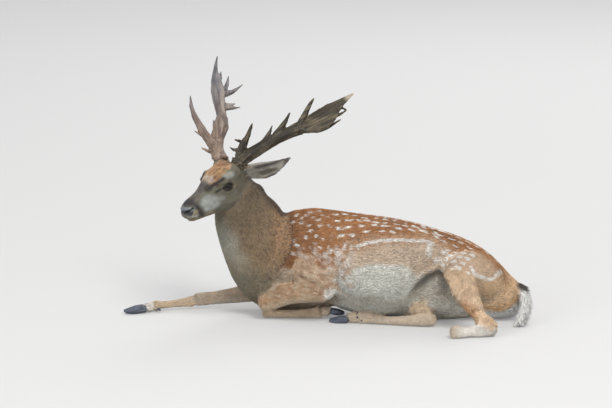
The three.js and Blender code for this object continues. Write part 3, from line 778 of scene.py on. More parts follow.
def paint_neck(coat):
    """Grey throat and chest, dark nape, a warm band of painted sunlight, painted shade in the shoulder crease.
    """
    points, normals, (x, _, z) = coat.points, coat.normals, coat.points.T
    lay, drift, neck, crease = coat.lay, coat.drift, coat.neck, crease_x(z)
    # the neck's own grey-brown, a little darker as painted shade
    lay(NECK, neck)
    front = step(0.0, 0.75, -normals[:, 0] + 0.5 * drift) * fall(-0.26, -0.19, x + 0.05 * drift)
    lay(THROAT, neck * front * (0.55 + 0.45 * step(0.16, 0.26, z)))
    lay(THROAT, neck * near(points, (-0.325, -0.05, 0.27), (0.05, 0.06, 0.045)) * 0.55)
    lay(CHEST, neck * fall(0.13, 0.21, z) * 0.8)
    # painted sunlight: a warm band on the neck before the crease
    lay(NECK_SUNLIT, neck * fall(0.03, 0.09, crease - x + 0.03 * drift) * bump(z, 0.28, 0.09) * 0.6)
    lay(NAPE, neck * step(0.62, 0.86, normals @ unit(np.array([0.62, 0.12, 0.77]))) * 0.85)
    below_head = np.linalg.norm(points - HEAD_AT - np.array([0.03, 0.03, -0.02]), axis=1)
    # darker olive round the root of the head: partly painted shade under the jaw
    lay(OLIVE, neck * fall(0.06, 0.19, below_head) * (0.75 + 0.5 * drift))
    lay(NAPE, neck * (1 - front) * step(0.58, 0.74, noise(points, 0.0050, 31)) * 0.5)
    # painted shade along the crease before the shoulder
    lay(RUST_DEEP * 0.8, (neck + coat.part["trunk"]) * bump(x, crease, 0.007) * step(0.15, 0.2, z) * 0.75)


def paint_legs(coat):
    """Fawn legs with fine streaks, paler below, and painted shade in the folds at the elbow."""
    points, (x, y, z), lay, w = coat.points, coat.points.T, coat.lay, coat.part
    leg = np.clip(w["arm"] + w["forearm"] + w["cannon"] + w["shank"] + w["metatarsus"] + w["pastern"], 0, 1)
    fore = np.clip(w["arm"] + w["forearm"] + w["cannon"], 0, 1)
    streaks = noise(points * (0.22, 1, 1), 0.0045, 63)
    lay(LEG, leg * 0.95)
    lay(BELLY, (w["thigh"] + w["shank"]) * near(points, (0.38, -0.06, 0.07), (0.14, 0.10, 0.11)) * 0.8)
    lay(SHANK, w["shank"] * 0.95)
    lay(CANNON, w["shank"] * fall(0.395, 0.41, x) * fall(0.07, 0.10, z) * 0.9)
    lay(LEG, w["shank"] * bump(y, -0.155, 0.035) * bump(z, 0.21, 0.05) * 0.5)
    lay(FAWN, w["arm"] * 0.45)
    lay(RUST_DEEP, leg * np.clip(coat.fine * 1.8 + 0.4 * coat.drift, 0, 0.3))
    lay(RUST_DEEP, fore * step(0.50, 0.80, streaks) * 0.40)
    lay(LEG_PALE, fore * fall(0.20, 0.45, streaks) * 0.45)
    lay(LEG_PALE, leg * step(0.0, 0.7, -coat.normals[:, 2]) * 0.6)
    lay(CANNON, (w["metatarsus"] + w["pastern"] + 0.85 * w["cannon"]) * 0.85)
    lay(CREAM, (w["metatarsus"] + w["pastern"]) * (0.15 + 0.55 * step(0.42, 0.46, x)))
    reaching = fall(-0.27, -0.22, x)
    patchy = step(0.4, 0.7, noise(points * (0.25, 1, 1), 0.02, 65))
    lay(LEG_GREY, w["forearm"] * reaching * (0.45 + 0.35 * patchy))
    lay(CREAM, w["pastern"] * reaching * 0.6)
    lay(CREAM, near(points, (0.030, -0.138, 0.096), (0.024, 0.04, 0.022)) * 0.8)
    lay(HOCK, near(points, (0.45, -0.24, 0.07), (0.05, 0.08, 0.045)) * 0.6)
    folded = w["trunk"] + w["arm"] + w["forearm"]
    # painted shade along the fold between arm and forearm
    lay(RUST_DEEP * 0.6, folded * np.clip(1.3 * path_near(points, ARM_FOLD, 0.006), 0, 1) * 0.7)
    # painted shade along the crease behind the elbow
    elbow = path_near(np.c_[x, y * 0, z], ELBOW_SHADE, 0.007) * step(0.06, 0.09, -y)
    lay(RUST_DEEP, w["trunk"] * elbow * 0.5)


def paint_tail_and_spots(coat):
    """A tail black above and white below, and the white spots of the back and flanks."""
    tail = coat.part["tail"]
    coat.lay(CREAM, tail)
    coat.lay(BLACK, tail * step(0.45, 0.75, coat.normals @ unit(np.array([0.0, 0.9, 0.42]))))
    root = near(coat.points, (0.626, -0.022, 0.120), (0.022, 0.030, 0.018))
    coat.lay(BLACK, (tail + coat.part["trunk"]) * root * 0.95)
    coat.lay(CREAM, spot_mask(coat.points) * (1 - coat.neck) * (1 - coat.part["head"]) * 0.92)


BROW_PATH = snapped(BROW_LINE, skin_tree)
TEAR_PATH = snapped(TEAR_LINE, skin_tree)
NOSTRIL_PATH = snapped(NOSTRIL_LINE, skin_tree)
BRIDGE = [(128, 0, -40), (100, 0, -20), (76, 0, -6), (58, 0, 5)]
MUZZLE_BAND = [(126, 0, -44), (112, 14, -40), (100, 24, -54), (88, 24, -68), (76, 20, -88)]
CHIN_EDGE = [(124, 12, -80), (116, 21, -80), (98, 23, -82)]
MOUTH = [(136, 0, -89), (120, 17, -88), (96, 22, -87), (76, 23, -86)]
# marks of the face: colour, place or line, reach, strength and how much of the mottle shows in it
CHEEK_MARKS = ((OLIVE, (-52, 50, 2), (44, 30, 34), 0.6, 0), (CHEEK, (56, 28, -47), (40, 22, 30), 0.85, 1),
               # the pale patch over the eye, at (-6, 44, 32), is a painted highlight on the brow
               (CHEEK, (-6, 44, 32), (24, 16, 13), 0.75, 0), (CHEEK, (20, 44, -34), (14, 14, 10), 0.6, 0),
               (OLIVE, (2, 50, -18), (18, 16, 8), 0.55, 0), (LIP_TAN, (48, 20, -82), (26, 14, 9), 0.8, 0),
               (LIP_TAN * 0.7, (0, 24, -88), (50, 26, 12), 0.5, 0))
NOSE_MARKS = ((BROW, (56, 18, -3), (15, 15, 12), 0.85, 0), (SLATE, BRIDGE, 17, 0.85, 1),
              (MUZZLE, MUZZLE_BAND, 9.5, 1, 0), (MUZZLE, (118, 0, -38), (18, 24, 14), 0.8, 0),
              (LIP_TAN, (107, 25, -67), (10, 10, 9), 0.85, 0), (CHIN, CHIN_EDGE, 5.0, 0.9, 0))


def paint_head(coat):
    """A grey and olive face, an orange forehead, dark brows, nose, muzzle band and rims of the lids."""
    points, lay, drift, head = coat.points, coat.lay, coat.drift, np.clip(coat.part["head"], 0, 1)
    q = in_head(points)
    m = np.c_[q[:, 0], np.abs(q[:, 1]), q[:, 2]]
    x, side, z = m.T
    mottle = noise(points, 0.009, 44) - 0.5

    def lay_marks(marks):
        for tint, place, reach, strength, mottling in marks:
            lay(tint, head * mark(m, place, reach) * (strength + mottling * mottle))

    # the face's own grey-brown, a little darker as painted shade
    lay(FACE, head)
    lay_marks(CHEEK_MARKS)
    # forehead: orange between the brows, up to the antlers
    hairs = noise(q * (0.20, 1, 0.6), 3.6, 47)
    from_middle = side + 0.35 * np.clip(-15 - x, 0, 60) + 10 * drift + 16 * (hairs - 0.5)
    top = step(2, 14, z) * fall(28, 43, from_middle) * fall(44, 56, x + 12 * drift)
    lay(FOREHEAD, head * top)
    lay(RUST_DEEP, head * top * step(0.05, 0.35, mottle) * 0.6)
    lay(RUST_DEEP, head * top * step(0.50, 0.75, noise(points, 0.022, 46)) * 0.6)
    lay(RUST_DEEP * 0.6, head * top * step(0.52, 0.80, hairs) * 0.65)
    lay(CREAM, head * top * fall(0.20, 0.44, hairs) * 0.14)
    lay(CREAM, head * top * near(m, (40, 8, 16), (18, 18, 16)) * 0.35)
    lay(OLIVE, head * step(-40, -80, x) * step(-30, 10, z) * (1 - top) * 0.5)
    # the dark crease over the eye, the bridge of the nose and the band behind the nostril
    lay(BROW * 0.7, np.clip(1.6 * path_near(m, BROW_PATH, 4.8), 0, 1) * head)
    lay_marks(NOSE_MARKS)
    lay(LIP_TAN * 0.8, head * step(72, 84, x) * fall(-90, -86, z))
    pad = step(108, 116, x + 0.45 * (z + 62)) * step(-80, -74, z) * fall(-54, -48, z)
    pad = np.maximum(pad, near(m, (122, 20, -61), (12, 9, 6)))
    lay(LEATHER, head * pad)
    # painted reflection: the top of the nose pad lighter grey, like sky on wet skin
    lay(NOSE_TOP_REFLECTION, head * pad * step(-66, -58, z))
    lay(SLATE, head * pad * near(m, (122, 12, -74), (14, 14, 5)) * 0.7)
    coat.moist = np.maximum(coat.moist, head * pad)
    # painted shade: near black inside the nostril slit
    lay(BLACK * 0.3, head * np.clip(1.5 * path_near(m, NOSTRIL_PATH, 3.6), 0, 1))
    lay(BLACK, head * path_near(m, MOUTH, 2.2))
    lay(BROW * 0.35, head * np.clip(1.5 * path_near(m, TEAR_PATH, 4.0), 0, 1))
    for s in (1, -1):
        outside, radius, _ = eye_slit(q, s)
        close = (radius < 40) * head
        lay(LID_RING, close * bump(outside, 7.5, 2.6) * (z < 6) * 0.8)
        lay(BROW * 0.35, close * fall(2.8, 5.2, outside))


# the ear at distances from the middle of the head: its middle line forward and up, and its half height
EAR_ROOT, EAR_LENGTH = 50, 115
EAR_MIDDLE_X = ([50, 86, 126, 165], [-80, -100, -124, -153])
EAR_MIDDLE_Z = ([50, 86, 126, 165], [32, 38, 54, 86])
EAR_HALF = ([50, 86, 126, 150, 165], [27, 33, 23, 12, 4])


def paint_ears(coat):
    """Dark along the upper rim, pale streaks inside, a dark lower rim and a white tip."""
    points, lay, ear = coat.points, coat.lay, np.clip(coat.part["ear"], 0, 1)
    x, side, z = in_head(points).T
    side = np.abs(side)
    reach = (side - EAR_ROOT) / EAR_LENGTH
    rise = 0.44 * (x - np.interp(side, *EAR_MIDDLE_X)) + 0.90 * (z - np.interp(side, *EAR_MIDDLE_Z))
    rise /= np.interp(side, *EAR_HALF)
    streak = noise(np.c_[reach * 0.05, rise * 0.03, reach * 0] + points * 0.15, 0.0035, 45) - 0.5
    inner = ear * step(0.1, 0.45, coat.normals @ HEAD_AXES.T @ unit(np.array([0.94, 0, -0.33])))
    lay(EAR_BACK, ear)
    lay(EAR_IN, inner * (0.55 + streak))
    lay(EAR_EDGE, ear * bump(rise, 0.42 + 0.25 * reach, 0.26) * step(0.12, 0.3, reach) * 0.95)
    lay(EAR_IN, ear * step(0.62, 0.9, rise) * fall(0.6, 0.85, reach) * 0.75)
    lay(CREAM, ear * step(0.70, 0.95, rise) * fall(0.3, 0.6, reach) * 0.35)
    # painted shade in the hollow of the ear's opening
    lay(OLIVE * 0.7, inner * near(np.c_[reach, rise, rise * 0], (0.45, -0.25, 0), (0.30, 0.32, 1)) * 0.85)
    lay(EAR_EDGE, ear * fall(-0.86, -0.70, rise) * step(0.2, 0.35, reach) * 0.85)
    lay(EAR_EDGE, ear * step(0.80, 0.90, reach) * fall(0.955, 0.98, reach) * 0.8)
    lay(CREAM, ear * step(0.965, 0.99, reach) * 0.9)
    lay(FOREHEAD, ear * fall(0.0, 0.22, reach) * step(0.3, 0.9, rise) * 0.5)


ZONES = (paint_barrel, paint_haunches, paint_neck, paint_legs, paint_tail_and_spots, paint_head, paint_ears)


def coat_paint(points, normals, shares):
    """Colours of the coat, and how bare and moist the skin is as the fourth value."""
    coat = Coat(points, normals, shares)
    for zone in ZONES:
        zone(coat)
    colour = coat.colour * (1 + 0.10 * coat.drift + 0.10 * coat.fine)[:, None]
    return np.clip(np.c_[colour, coat.moist], 0, 1)


def give_paint(ob, colour):
    """Colours for the mesh's points; the fourth value says how bare and moist they are."""
    rgba = np.zeros((len(colour), 4))
    rgba[:, :colour.shape[1]] = colour
    layer = ob.data.color_attributes.new(name="paint", type="FLOAT_COLOR", domain="POINT")
    layer.data.foreach_set("color", np.clip(rgba, 0, 1).astype(np.float32).ravel())


skin_co, skin_normal, skin_edges = points_of(skin), normals_of(skin), edges_of(skin)
skin_region = nearest_node(skin_co, FLESH)
skin_share = relax(np.eye(len(PARTS))[PART_OF[skin_region]], skin_edges, 12)
skin_share = np.clip(skin_share, 0, 1)
node_lie = np.array([lie_of_coat(name) for name in FLESH])
skin_lie = relax(node_lie[skin_region], skin_edges, 45)
give_paint(skin, coat_paint(skin_co, skin_normal, skin_share))

# the coat's map: the skin's own unwrap
bpy.context.view_layer.objects.active = skin
bpy.ops.object.select_all(action="DESELECT")
skin.select_set(True)
bpy.ops.object.mode_set(mode="EDIT")
bpy.ops.mesh.select_all(action="SELECT")
bpy.ops.uv.smart_project(angle_limit=math.radians(66), island_margin=0.002)
bpy.ops.object.mode_set(mode="OBJECT")
skin.data.uv_layers[0].name = "OFBake"


# ---- finishes ----
def material(name, **sockets):
    mat = bpy.data.materials.new(name)
    mat.use_nodes = True
    shader = mat.node_tree.nodes["Principled BSDF"]
    for key, value in sockets.items():
        shader.inputs[key.replace("_", " ")].default_value = value
    return mat, mat.node_tree, shader


def node(tree, kind, links=None, **values):
    """A shader node; values set its properties or its inputs, links join its inputs to other sockets."""
    n = tree.nodes.new(kind)
    for key, value in values.items():
        if hasattr(n, key):
            setattr(n, key, value)
        else:
            n.inputs[key.replace("_", " ")].default_value = value
    for key, socket in (links or {}).items():
        tree.links.new(socket, n.inputs[key])
    return n


def feed(tree, value, socket):
    """Gives a socket a number or another socket's value."""
    if isinstance(value, float):
        socket.default_value = value
    else:
        tree.links.new(value, socket)


def maths(tree, operation, first, second):
    n = node(tree, "ShaderNodeMath", {0: first}, operation=operation)
    feed(tree, second, n.inputs[1])
    return n.outputs[0]


def grain(tree, scale, detail, roughness=0.5):
    """Fine noise that stays on the surface."""
    place = node(tree, "ShaderNodeTexCoord").outputs["Object"]
    n = node(tree, "ShaderNodeTexNoise", {"Vector": place}, Detail=detail, Roughness=roughness)
    feed(tree, scale, n.inputs["Scale"])
    return n.outputs


def painted(tree):
    return node(tree, "ShaderNodeAttribute", attribute_name="paint").outputs


def tinted(tree, colour, gain):
    n = node(tree, "ShaderNodeVectorMath", {0: colour, "Scale": gain}, operation="SCALE")
    return n.outputs["Vector"]


def ranged(tree, value, **limits):
    return node(tree, "ShaderNodeMapRange", {"Value": value}, **limits).outputs["Result"]


def blended(tree, colour, other, kind, share):
    n = node(tree, "ShaderNodeMix", {"A": colour, "B": other}, data_type="RGBA", blend_type=kind,
             Factor=share)
    return n.outputs["Result"]


def relieved(tree, shader, height, strength, depth):
    relief = node(tree, "ShaderNodeBump", {"Height": height}, Strength=strength, Distance=depth)
    tree.links.new(relief.outputs["Normal"], shader.inputs["Normal"])


def fibre_group():
    """Fine uneven shading for hair: takes a colour, gives it back streaked, with a height for its bump."""
    g = bpy.data.node_groups.new("hair_variation", "ShaderNodeTree")
    g.interface.new_socket(name="Colour", in_out="INPUT", socket_type="NodeSocketColor")
    for name, usual in (("Strand Size", 260.0), ("Patch Size", 38.0), ("Contrast", 0.25)):
        socket = g.interface.new_socket(name=name, in_out="INPUT", socket_type="NodeSocketFloat")
        socket.default_value = usual
    for name, kind in (("Colour", "Color"), ("Height", "Float"), ("Roughness", "Float")):
        g.interface.new_socket(name=name, in_out="OUTPUT", socket_type=f"NodeSocket{kind}")
    into, out = g.nodes.new("NodeGroupInput").outputs, g.nodes.new("NodeGroupOutput").inputs
    strands = grain(g, into["Strand Size"], 4.0, 0.65)["Fac"]
    patches = grain(g, into["Patch Size"], 3.0, 0.55)["Fac"]
    uneven = maths(g, "SUBTRACT", maths(g, "ADD", strands, patches), 1.0)
    gain = maths(g, "MULTIPLY", maths(g, "MULTIPLY", uneven, into["Contrast"]), 2.0)
    g.links.new(tinted(g, into["Colour"], maths(g, "ADD", gain, 1.0)), out["Colour"])
    g.links.new(strands, out["Height"])
    g.links.new(ranged(g, strands, To_Min=0.52, To_Max=0.72), out["Roughness"])
    return g


HAIR = fibre_group()
MOIST_ROUGHNESS = 0.30


def hair_material(name, strands, patches, contrast, bump_strength, bump_depth, sheen):
    mat, tree, shader = material(name, Specular_IOR_Level=0.35, Sheen_Weight=sheen, Sheen_Roughness=0.45)
    colour = painted(tree)
    hair = node(tree, "ShaderNodeGroup", node_tree=HAIR)
    for socket, value in (("Strand Size", strands), ("Patch Size", patches), ("Contrast", contrast)):
        hair.inputs[socket].default_value = value
    tree.links.new(colour["Color"], hair.inputs["Colour"])
    tree.links.new(hair.outputs["Colour"], shader.inputs["Base Color"])
    rough = node(tree, "ShaderNodeMix", {"Factor": colour["Alpha"], "A": hair.outputs["Roughness"]},
                 data_type="FLOAT", B=MOIST_ROUGHNESS)
    tree.links.new(rough.outputs["Result"], shader.inputs["Roughness"])
    relieved(tree, shader, hair.outputs["Height"], bump_strength, bump_depth)
    return mat


def eye_material():
    mat, tree, shader = material("moist_eye", Roughness=0.14, Coat_Weight=0.3, Coat_Roughness=0.03,
                                 IOR=1.36, Specular_IOR_Level=0.3)
    fibres = grain(tree, 900.0, 3.0)["Color"]
    colour = blended(tree, painted(tree)["Color"], fibres, "MULTIPLY", 0.5)
    tree.links.new(colour, shader.inputs["Base Color"])
    return mat


def lid_material():
    mat, tree, shader = material("lid_rim", Roughness=0.38, Coat_Weight=0.3, Coat_Roughness=0.2)
    pores = grain(tree, 700.0, 4.0)["Fac"]
    ramp = node(tree, "ShaderNodeValToRGB", {"Fac": pores})
    for stop, colour in zip(ramp.color_ramp.elements, (LID_DARK, LID_LIGHT)):
        stop.color = (*colour, 1)
    tree.links.new(ramp.outputs["Color"], shader.inputs["Base Color"])
    relieved(tree, shader, pores, 0.4, 0.0004)
    return mat


def antler_material():
    mat, tree, shader = material("antler_bone", Specular_IOR_Level=0.4)
    bone = grain(tree, 210.0, 6.0, 0.7)["Fac"]
    gain = ranged(tree, bone, From_Min=0.3, From_Max=0.7, To_Min=0.78, To_Max=1.15)
    tree.links.new(tinted(tree, painted(tree)["Color"], gain), shader.inputs["Base Color"])
    tree.links.new(ranged(tree, bone, To_Min=0.42, To_Max=0.68), shader.inputs["Roughness"])
    relieved(tree, shader, bone, 0.45, 0.0008)
    return mat


def hoof_material():
    mat, tree, shader = material("hoof_horn", Specular_IOR_Level=0.5)
    horn = grain(tree, 420.0, 5.0)
    colour = blended(tree, painted(tree)["Color"], horn["Color"], "OVERLAY", 0.35)
    tree.links.new(colour, shader.inputs["Base Color"])
    tree.links.new(ranged(tree, horn["Fac"], To_Min=0.34, To_Max=0.62), shader.inputs["Roughness"])
    relieved(tree, shader, horn["Fac"], 0.4, 0.0005)
    return mat


SHORT_HAIR = hair_material("short_hair_skin", 420.0, 40.0, 0.35, 0.6, 0.0012, 0.1)
COAT_HAIR = hair_material("coat_hair", 700.0, 60.0, 0.30, 0.35, 0.0008, 0.15)
MOIST_EYE, LID_SKIN, ANTLER, HORN = eye_material(), lid_material(), antler_material(), hoof_material()


def finished(ob, mat):
    smooth_faces(ob.data)
    ob.data.materials.clear()
    ob.data.materials.append(mat)


finished(skin, SHORT_HAIR)

# ---- coat: thin tufts over the skin ----
# the triangles of one blade: three points at its root, three at its middle, one at its tip
BLADE = np.array([(0, 2, 1), (0, 1, 4), (0, 4, 3), (1, 2, 5), (1, 5, 4), (2, 0, 3), (2, 3, 5), (3, 4, 6),
                  (4, 5, 6), (5, 3, 6)])
BLADE_POINTS = 7
# how light each of its points is, and where it lies in the coat's map round the blade's own place
BLADE_TONE = np.array([0.80, 0.80, 0.80, 0.98, 0.98, 1.02, 1.10])
BLADE_MAP = np.array([(-1, -1), (1, -1), (0, -0.8), (-0.7, 0.1), (0.7, 0.1), (0, 0.3), (0, 1)]) * 0.0015


def blade_faces(count):
    return (np.arange(count)[:, None, None] * BLADE_POINTS + BLADE[None]).reshape(-1, 3)


SMALLEST_CELL, CELL_GROWTH, TRIES = 0.002, 1.12, 4.0


def scatter_roots(rng):
    """Evenly spaced root points on the skin: its triangles, their corners and the weights in them."""
    me = skin.data
    me.calc_loop_triangles()
    tri, loops = (read(me.loop_triangles, what, 3, np.int32) for what in ("vertices", "loops"))
    a, b, c = (skin_co[tri[:, k]] for k in range(3))
    area = np.linalg.norm(np.cross(b - a, c - a), axis=1) / 2
    share = skin_share[tri].mean(1)
    spacing = (share @ TUFT_TABLE[:, SPACING]) / np.maximum(share.sum(1), 1e-6)
    q = in_head(a)
    spacing = spacing * (1 - 0.16 * step(50, 100, q[:, 0]) * (np.abs(q[:, 1]) < 60)) * TUFT_SPACING
    owner = np.repeat(np.arange(len(tri)), rng.poisson(area / spacing ** 2 * TRIES))
    r1, r2 = np.sqrt(rng.random(len(owner))), rng.random(len(owner))
    bary = np.c_[1 - r1, r1 * (1 - r2), r1 * r2]
    p = np.einsum("ij,ijk->ik", bary, skin_co[tri[owner]])
    order = rng.permutation(len(owner))
    owner, bary, p = owner[order], bary[order], p[order]
    # one root in each cell, with larger cells where the coat is wider spaced
    level = np.round(np.log(spacing[owner] / SMALLEST_CELL) / np.log(CELL_GROWTH)).astype(np.int64)
    cell = SMALLEST_CELL * CELL_GROWTH ** level
    key = np.floor(p / cell[:, None] + 0.5 * level[:, None]).astype(np.int64)
    tag = ((key[:, 0] * 92821 + key[:, 1]) * 68917 + key[:, 2]) * 64 + level
    keep = np.unique(tag, return_index=True)[1]
    return tri[owner[keep]], loops[owner[keep]], bary[keep]


rng = np.random.default_rng(11)
root_tri, root_loops, root_bary = scatter_roots(rng)


def at_roots(values):
    return np.einsum("ij,ijk->ik", root_bary, values[root_tri])


root_uv = np.einsum("ij,ijk->ik", root_bary, read(skin.data.uv_layers["OFBake"].data, "uv", 2)[root_loops])
root, root_normal = at_roots(skin_co), unit(at_roots(skin_normal))
root_share = at_roots(skin_share)
root_share /= np.maximum(root_share.sum(1, keepdims=True), 1e-6)
root_part = {name: root_share[:, k] for k, name in enumerate(PARTS)}
root_colour = coat_paint(root, root_normal, root_share)
root_head = in_head(root)

# shorter hair towards the muzzle, longer at the fringe of the rump and over the crowns of the hooves
root_size = root_share @ TUFT_TABLE
root_size[:, LENGTH:] *= (1 - 0.38 * step(30, 110, root_head[:, 0]) * root_part["head"])[:, None]
fringe = (root_part["thigh"] + root_part["trunk"]) * step(0.46, 0.54, root[:, 0])
fringe *= fall(0.05, 0.10, root[:, 2])
root_size[:, LENGTH] *= 1 + 0.7 * fringe
root_size[:, RISE] *= 1 + 0.4 * fringe
for crown in CROWNS:
    root_size[:, LENGTH] *= 1 + 0.9 * root_part["pastern"] * near(root, crown, 0.024)

# no hair on moist skin, in the eyes' openings or against the ground
bare = (root_colour[:, 3] > 0.35) & (root_part["head"] > 0.5)
for side in (1, -1):
    outside, radius, _ = eye_slit(root_head, side)
    bare |= (outside < 1.5) & (radius < 40)
haired = ~bare & (root[:, 2] >= HAIRLESS_HEIGHT)

# the lie of the coat, with large and small swirls
direction = at_roots(skin_lie) + noise3(root, 0.09, 71) * 0.5 + noise3(root, 0.02, 75) * 0.35
direction = unit(direction - root_normal * (direction * root_normal).sum(1, keepdims=True))


def build_tufts(name, pick, rng):
    """A piece of coat: each tuft is a thin bent blade with three sides, closed, lying along the body."""
    p, n, f = root[pick], root_normal[pick], direction[pick]
    size, k = root_size[pick], len(pick)
    turn = rng.normal(0, 0.16, k)[:, None]
    f = unit(f * np.cos(turn) + np.cross(n, f) * np.sin(turn))
    across = np.cross(n, f)
    length = size[:, LENGTH] * rng.uniform(0.75, 1.25, k)
    half = size[:, WIDTH] * rng.uniform(0.38, 0.62, k)
    height = size[:, RISE] * rng.uniform(0.55, 1.35, k)
    wave = rng.normal(0, 0.10, k)[:, None]

    def spine(share, lift):
        middle = p + f * (length * share)[:, None] + n * lift[:, None]
        return middle + across * wave * (share ** 2 * length)[:, None]

    def section(share, lift, width, ridge):
        middle = spine(share, lift)
        out = across * (half * width)[:, None]
        return middle - out, middle + out, middle + n * (half * 0.5 * ridge)[:, None]

    verts = np.stack([*section(0.0, np.full(k, -0.0004), 0.75, 0.8), *section(0.5, height * 0.72, 1.0, 1.0),
                      spine(1.0, height * 0.95)], 1)
    verts[:, :, 2] = np.maximum(verts[:, :, 2], TUFT_HEIGHT)
    ob = new_object(name, verts.reshape(-1, 3), blade_faces(k))
    tone = BLADE_TONE[None, :, None] * rng.normal(1, 0.07, k)[:, None, None]
    give_paint(ob, (root_colour[pick][:, None, :3] * tone).reshape(-1, 3))
    corner = (root_uv[pick][:, None, :] + BLADE_MAP[None])[:, BLADE.ravel(), :]
    layer = ob.data.uv_layers.new(name="OFBake")
    layer.data.foreach_set("uv", corner.astype(np.float32).ravel())
    finished(ob, COAT_HAIR)
    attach(ob, "root")


PIECES = {"coat_head": ["head"], "coat_ears": ["ear"], "coat_neck": ["neck"], "coat_barrel": ["trunk"],
          "coat_haunches": ["thigh", "shank"], "coat_forelegs": ["arm", "forearm", "cannon"],
          "coat_hind_feet": ["metatarsus", "pastern"], "coat_tail": ["tail"]}
main_part = root_share.argmax(1)
for name, members in PIECES.items():
    chosen = np.nonzero(np.isin(main_part, [PARTS.index(m) for m in members]) & haired)[0]
    # in order from nose to tail, on the barrel first its left half
    right_half = 10 * (root[chosen, 1] > 0) * (name == "coat_barrel")
    chosen = chosen[np.argsort(root[chosen, 0] + right_half)]
    pieces = max(1, math.ceil(len(chosen) / TUFTS_IN_A_PIECE))
    for k, piece in enumerate(np.array_split(chosen, pieces)):
        build_tufts(name if pieces == 1 else f"{name}_{k + 1}", piece, rng)


# ---- eyes ----
EYE_RINGS, EYE_AROUND, RIM_STEPS, RIM_SIDES, LASHES = 40, 72, 64, 10, 46
IRIS_RADIUS, PUPIL_HALF_LENGTH, PUPIL_HALF_HEIGHT = 11.7, 7.0, 3.4


def make_eye_ball(side, word):
    """A ball with a slight bulge in front, a dark iris and a wide slot of a pupil."""
    out, fore, up = eye_axes(side)
    verts = [out * EYE_RADIUS]
    for i in range(1, EYE_RINGS):
        polar = math.pi * i / EYE_RINGS
        bulge = 1 + 0.05 * math.exp(-((polar / 0.42) ** 2))
        for k in range(EYE_AROUND):
            turn = 2 * math.pi * k / EYE_AROUND
            d = out * math.cos(polar) + (fore * math.cos(turn) + up * math.sin(turn)) * math.sin(polar)
            verts.append(d * EYE_RADIUS * bulge)
    verts.append(-out * EYE_RADIUS)
    last = len(verts) - 1
    faces = [(0, 1 + k, 1 + (k + 1) % EYE_AROUND) for k in range(EYE_AROUND)]
    for i in range(EYE_RINGS - 2):
        for k in range(EYE_AROUND):
            a, b = 1 + i * EYE_AROUND + k, 1 + i * EYE_AROUND + (k + 1) % EYE_AROUND
            faces.append((a, a + EYE_AROUND, b + EYE_AROUND, b))
    rim = last - EYE_AROUND
    faces += [(rim + k, last, rim + (k + 1) % EYE_AROUND) for k in range(EYE_AROUND)]
    rel = np.array(verts)
    me = bpy.data.meshes.new(f"eye_ball_{word}")
    me.from_pydata(from_head(rel + EYE_AT[side]).tolist(), [], faces)
    ob = link(f"eye_ball_{word}", me)
    turned_out(ob)
    p, w, front = rel @ fore, rel @ up, rel @ out > 0
    r = np.hypot(p, w)
    rays = 0.8 + 0.4 * noise(np.c_[np.arctan2(w, p) * 9, r * 0.2, r * 0], 1.0, 5)
    iris = (fall(IRIS_RADIUS - 0.5, IRIS_RADIUS + 0.5, r) * front)[:, None]
    colour = np.tile(WHITE_OF_EYE, (len(rel), 1)) * (1 - iris) + IRIS * rays[:, None] * iris
    colour += (IRIS_RIM - colour) * (bump(r, IRIS_RADIUS - 0.1, 1.2) * front)[:, None]
    slot = np.hypot(p / PUPIL_HALF_LENGTH, w / PUPIL_HALF_HEIGHT)
    colour += (PUPIL - colour) * (fall(0.88, 1.08, slot) * front)[:, None]
    give_paint(ob, colour)
    finished(ob, MOIST_EYE)
    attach(ob, "root")
    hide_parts(f"eye_{word}")


def closed_tube(name, path, radii):
    """A tube with a round section along a closed path; radii gives each step its radius and its way out."""
    path = np.asarray(path)
    ahead = unit(np.roll(path, -1, 0) - np.roll(path, 1, 0))
    verts, faces = [], []
    for p, t, (r, out) in zip(path, ahead, radii):
        a = unit(out - t * (out @ t))
        b = np.cross(t, a)
        turns = [2 * math.pi * k / RIM_SIDES for k in range(RIM_SIDES)]
        verts += [p + (a * math.cos(turn) + b * math.sin(turn)) * r for turn in turns]
    for i in range(len(path)):
        here, there = i * RIM_SIDES, (i + 1) % len(path) * RIM_SIDES
        for k in range(RIM_SIDES):
            after = (k + 1) % RIM_SIDES
            faces.append((here + k, here + after, there + after, there + k))
    ob = new_object(name, verts, faces)
    turned_out(ob)
    return ob


def make_lid_rim(side, word):
    """The dark rim of the lids, thicker above, with a drop at the front corner."""
    out, fore, up = eye_axes(side)
    path, radii = [], []
    for k in range(RIM_STEPS):
        t = 2 * math.pi * k / RIM_STEPS
        c, above = math.cos(t), math.sin(t) >= 0
        top, low = lid_edges(c * 0.995)
        flat = fore * (c * EYE_HALF) + up * (top if above else low)
        depth = math.sqrt(max((LID_RADIUS - 0.9) ** 2 - flat @ flat, 1.0))
        path.append(from_head(EYE_AT[side] + flat + out * depth))
        thick = (1.55 if above else 1.15) + 0.5 * max(c, 0) ** 8
        radii.append((thick * HEAD_UNIT, unit(flat + out * depth) @ HEAD_AXES))
    rim = closed_tube(f"lid_rim_{word}", path, radii)
    finished(rim, LID_SKIN)
    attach(rim, "root")


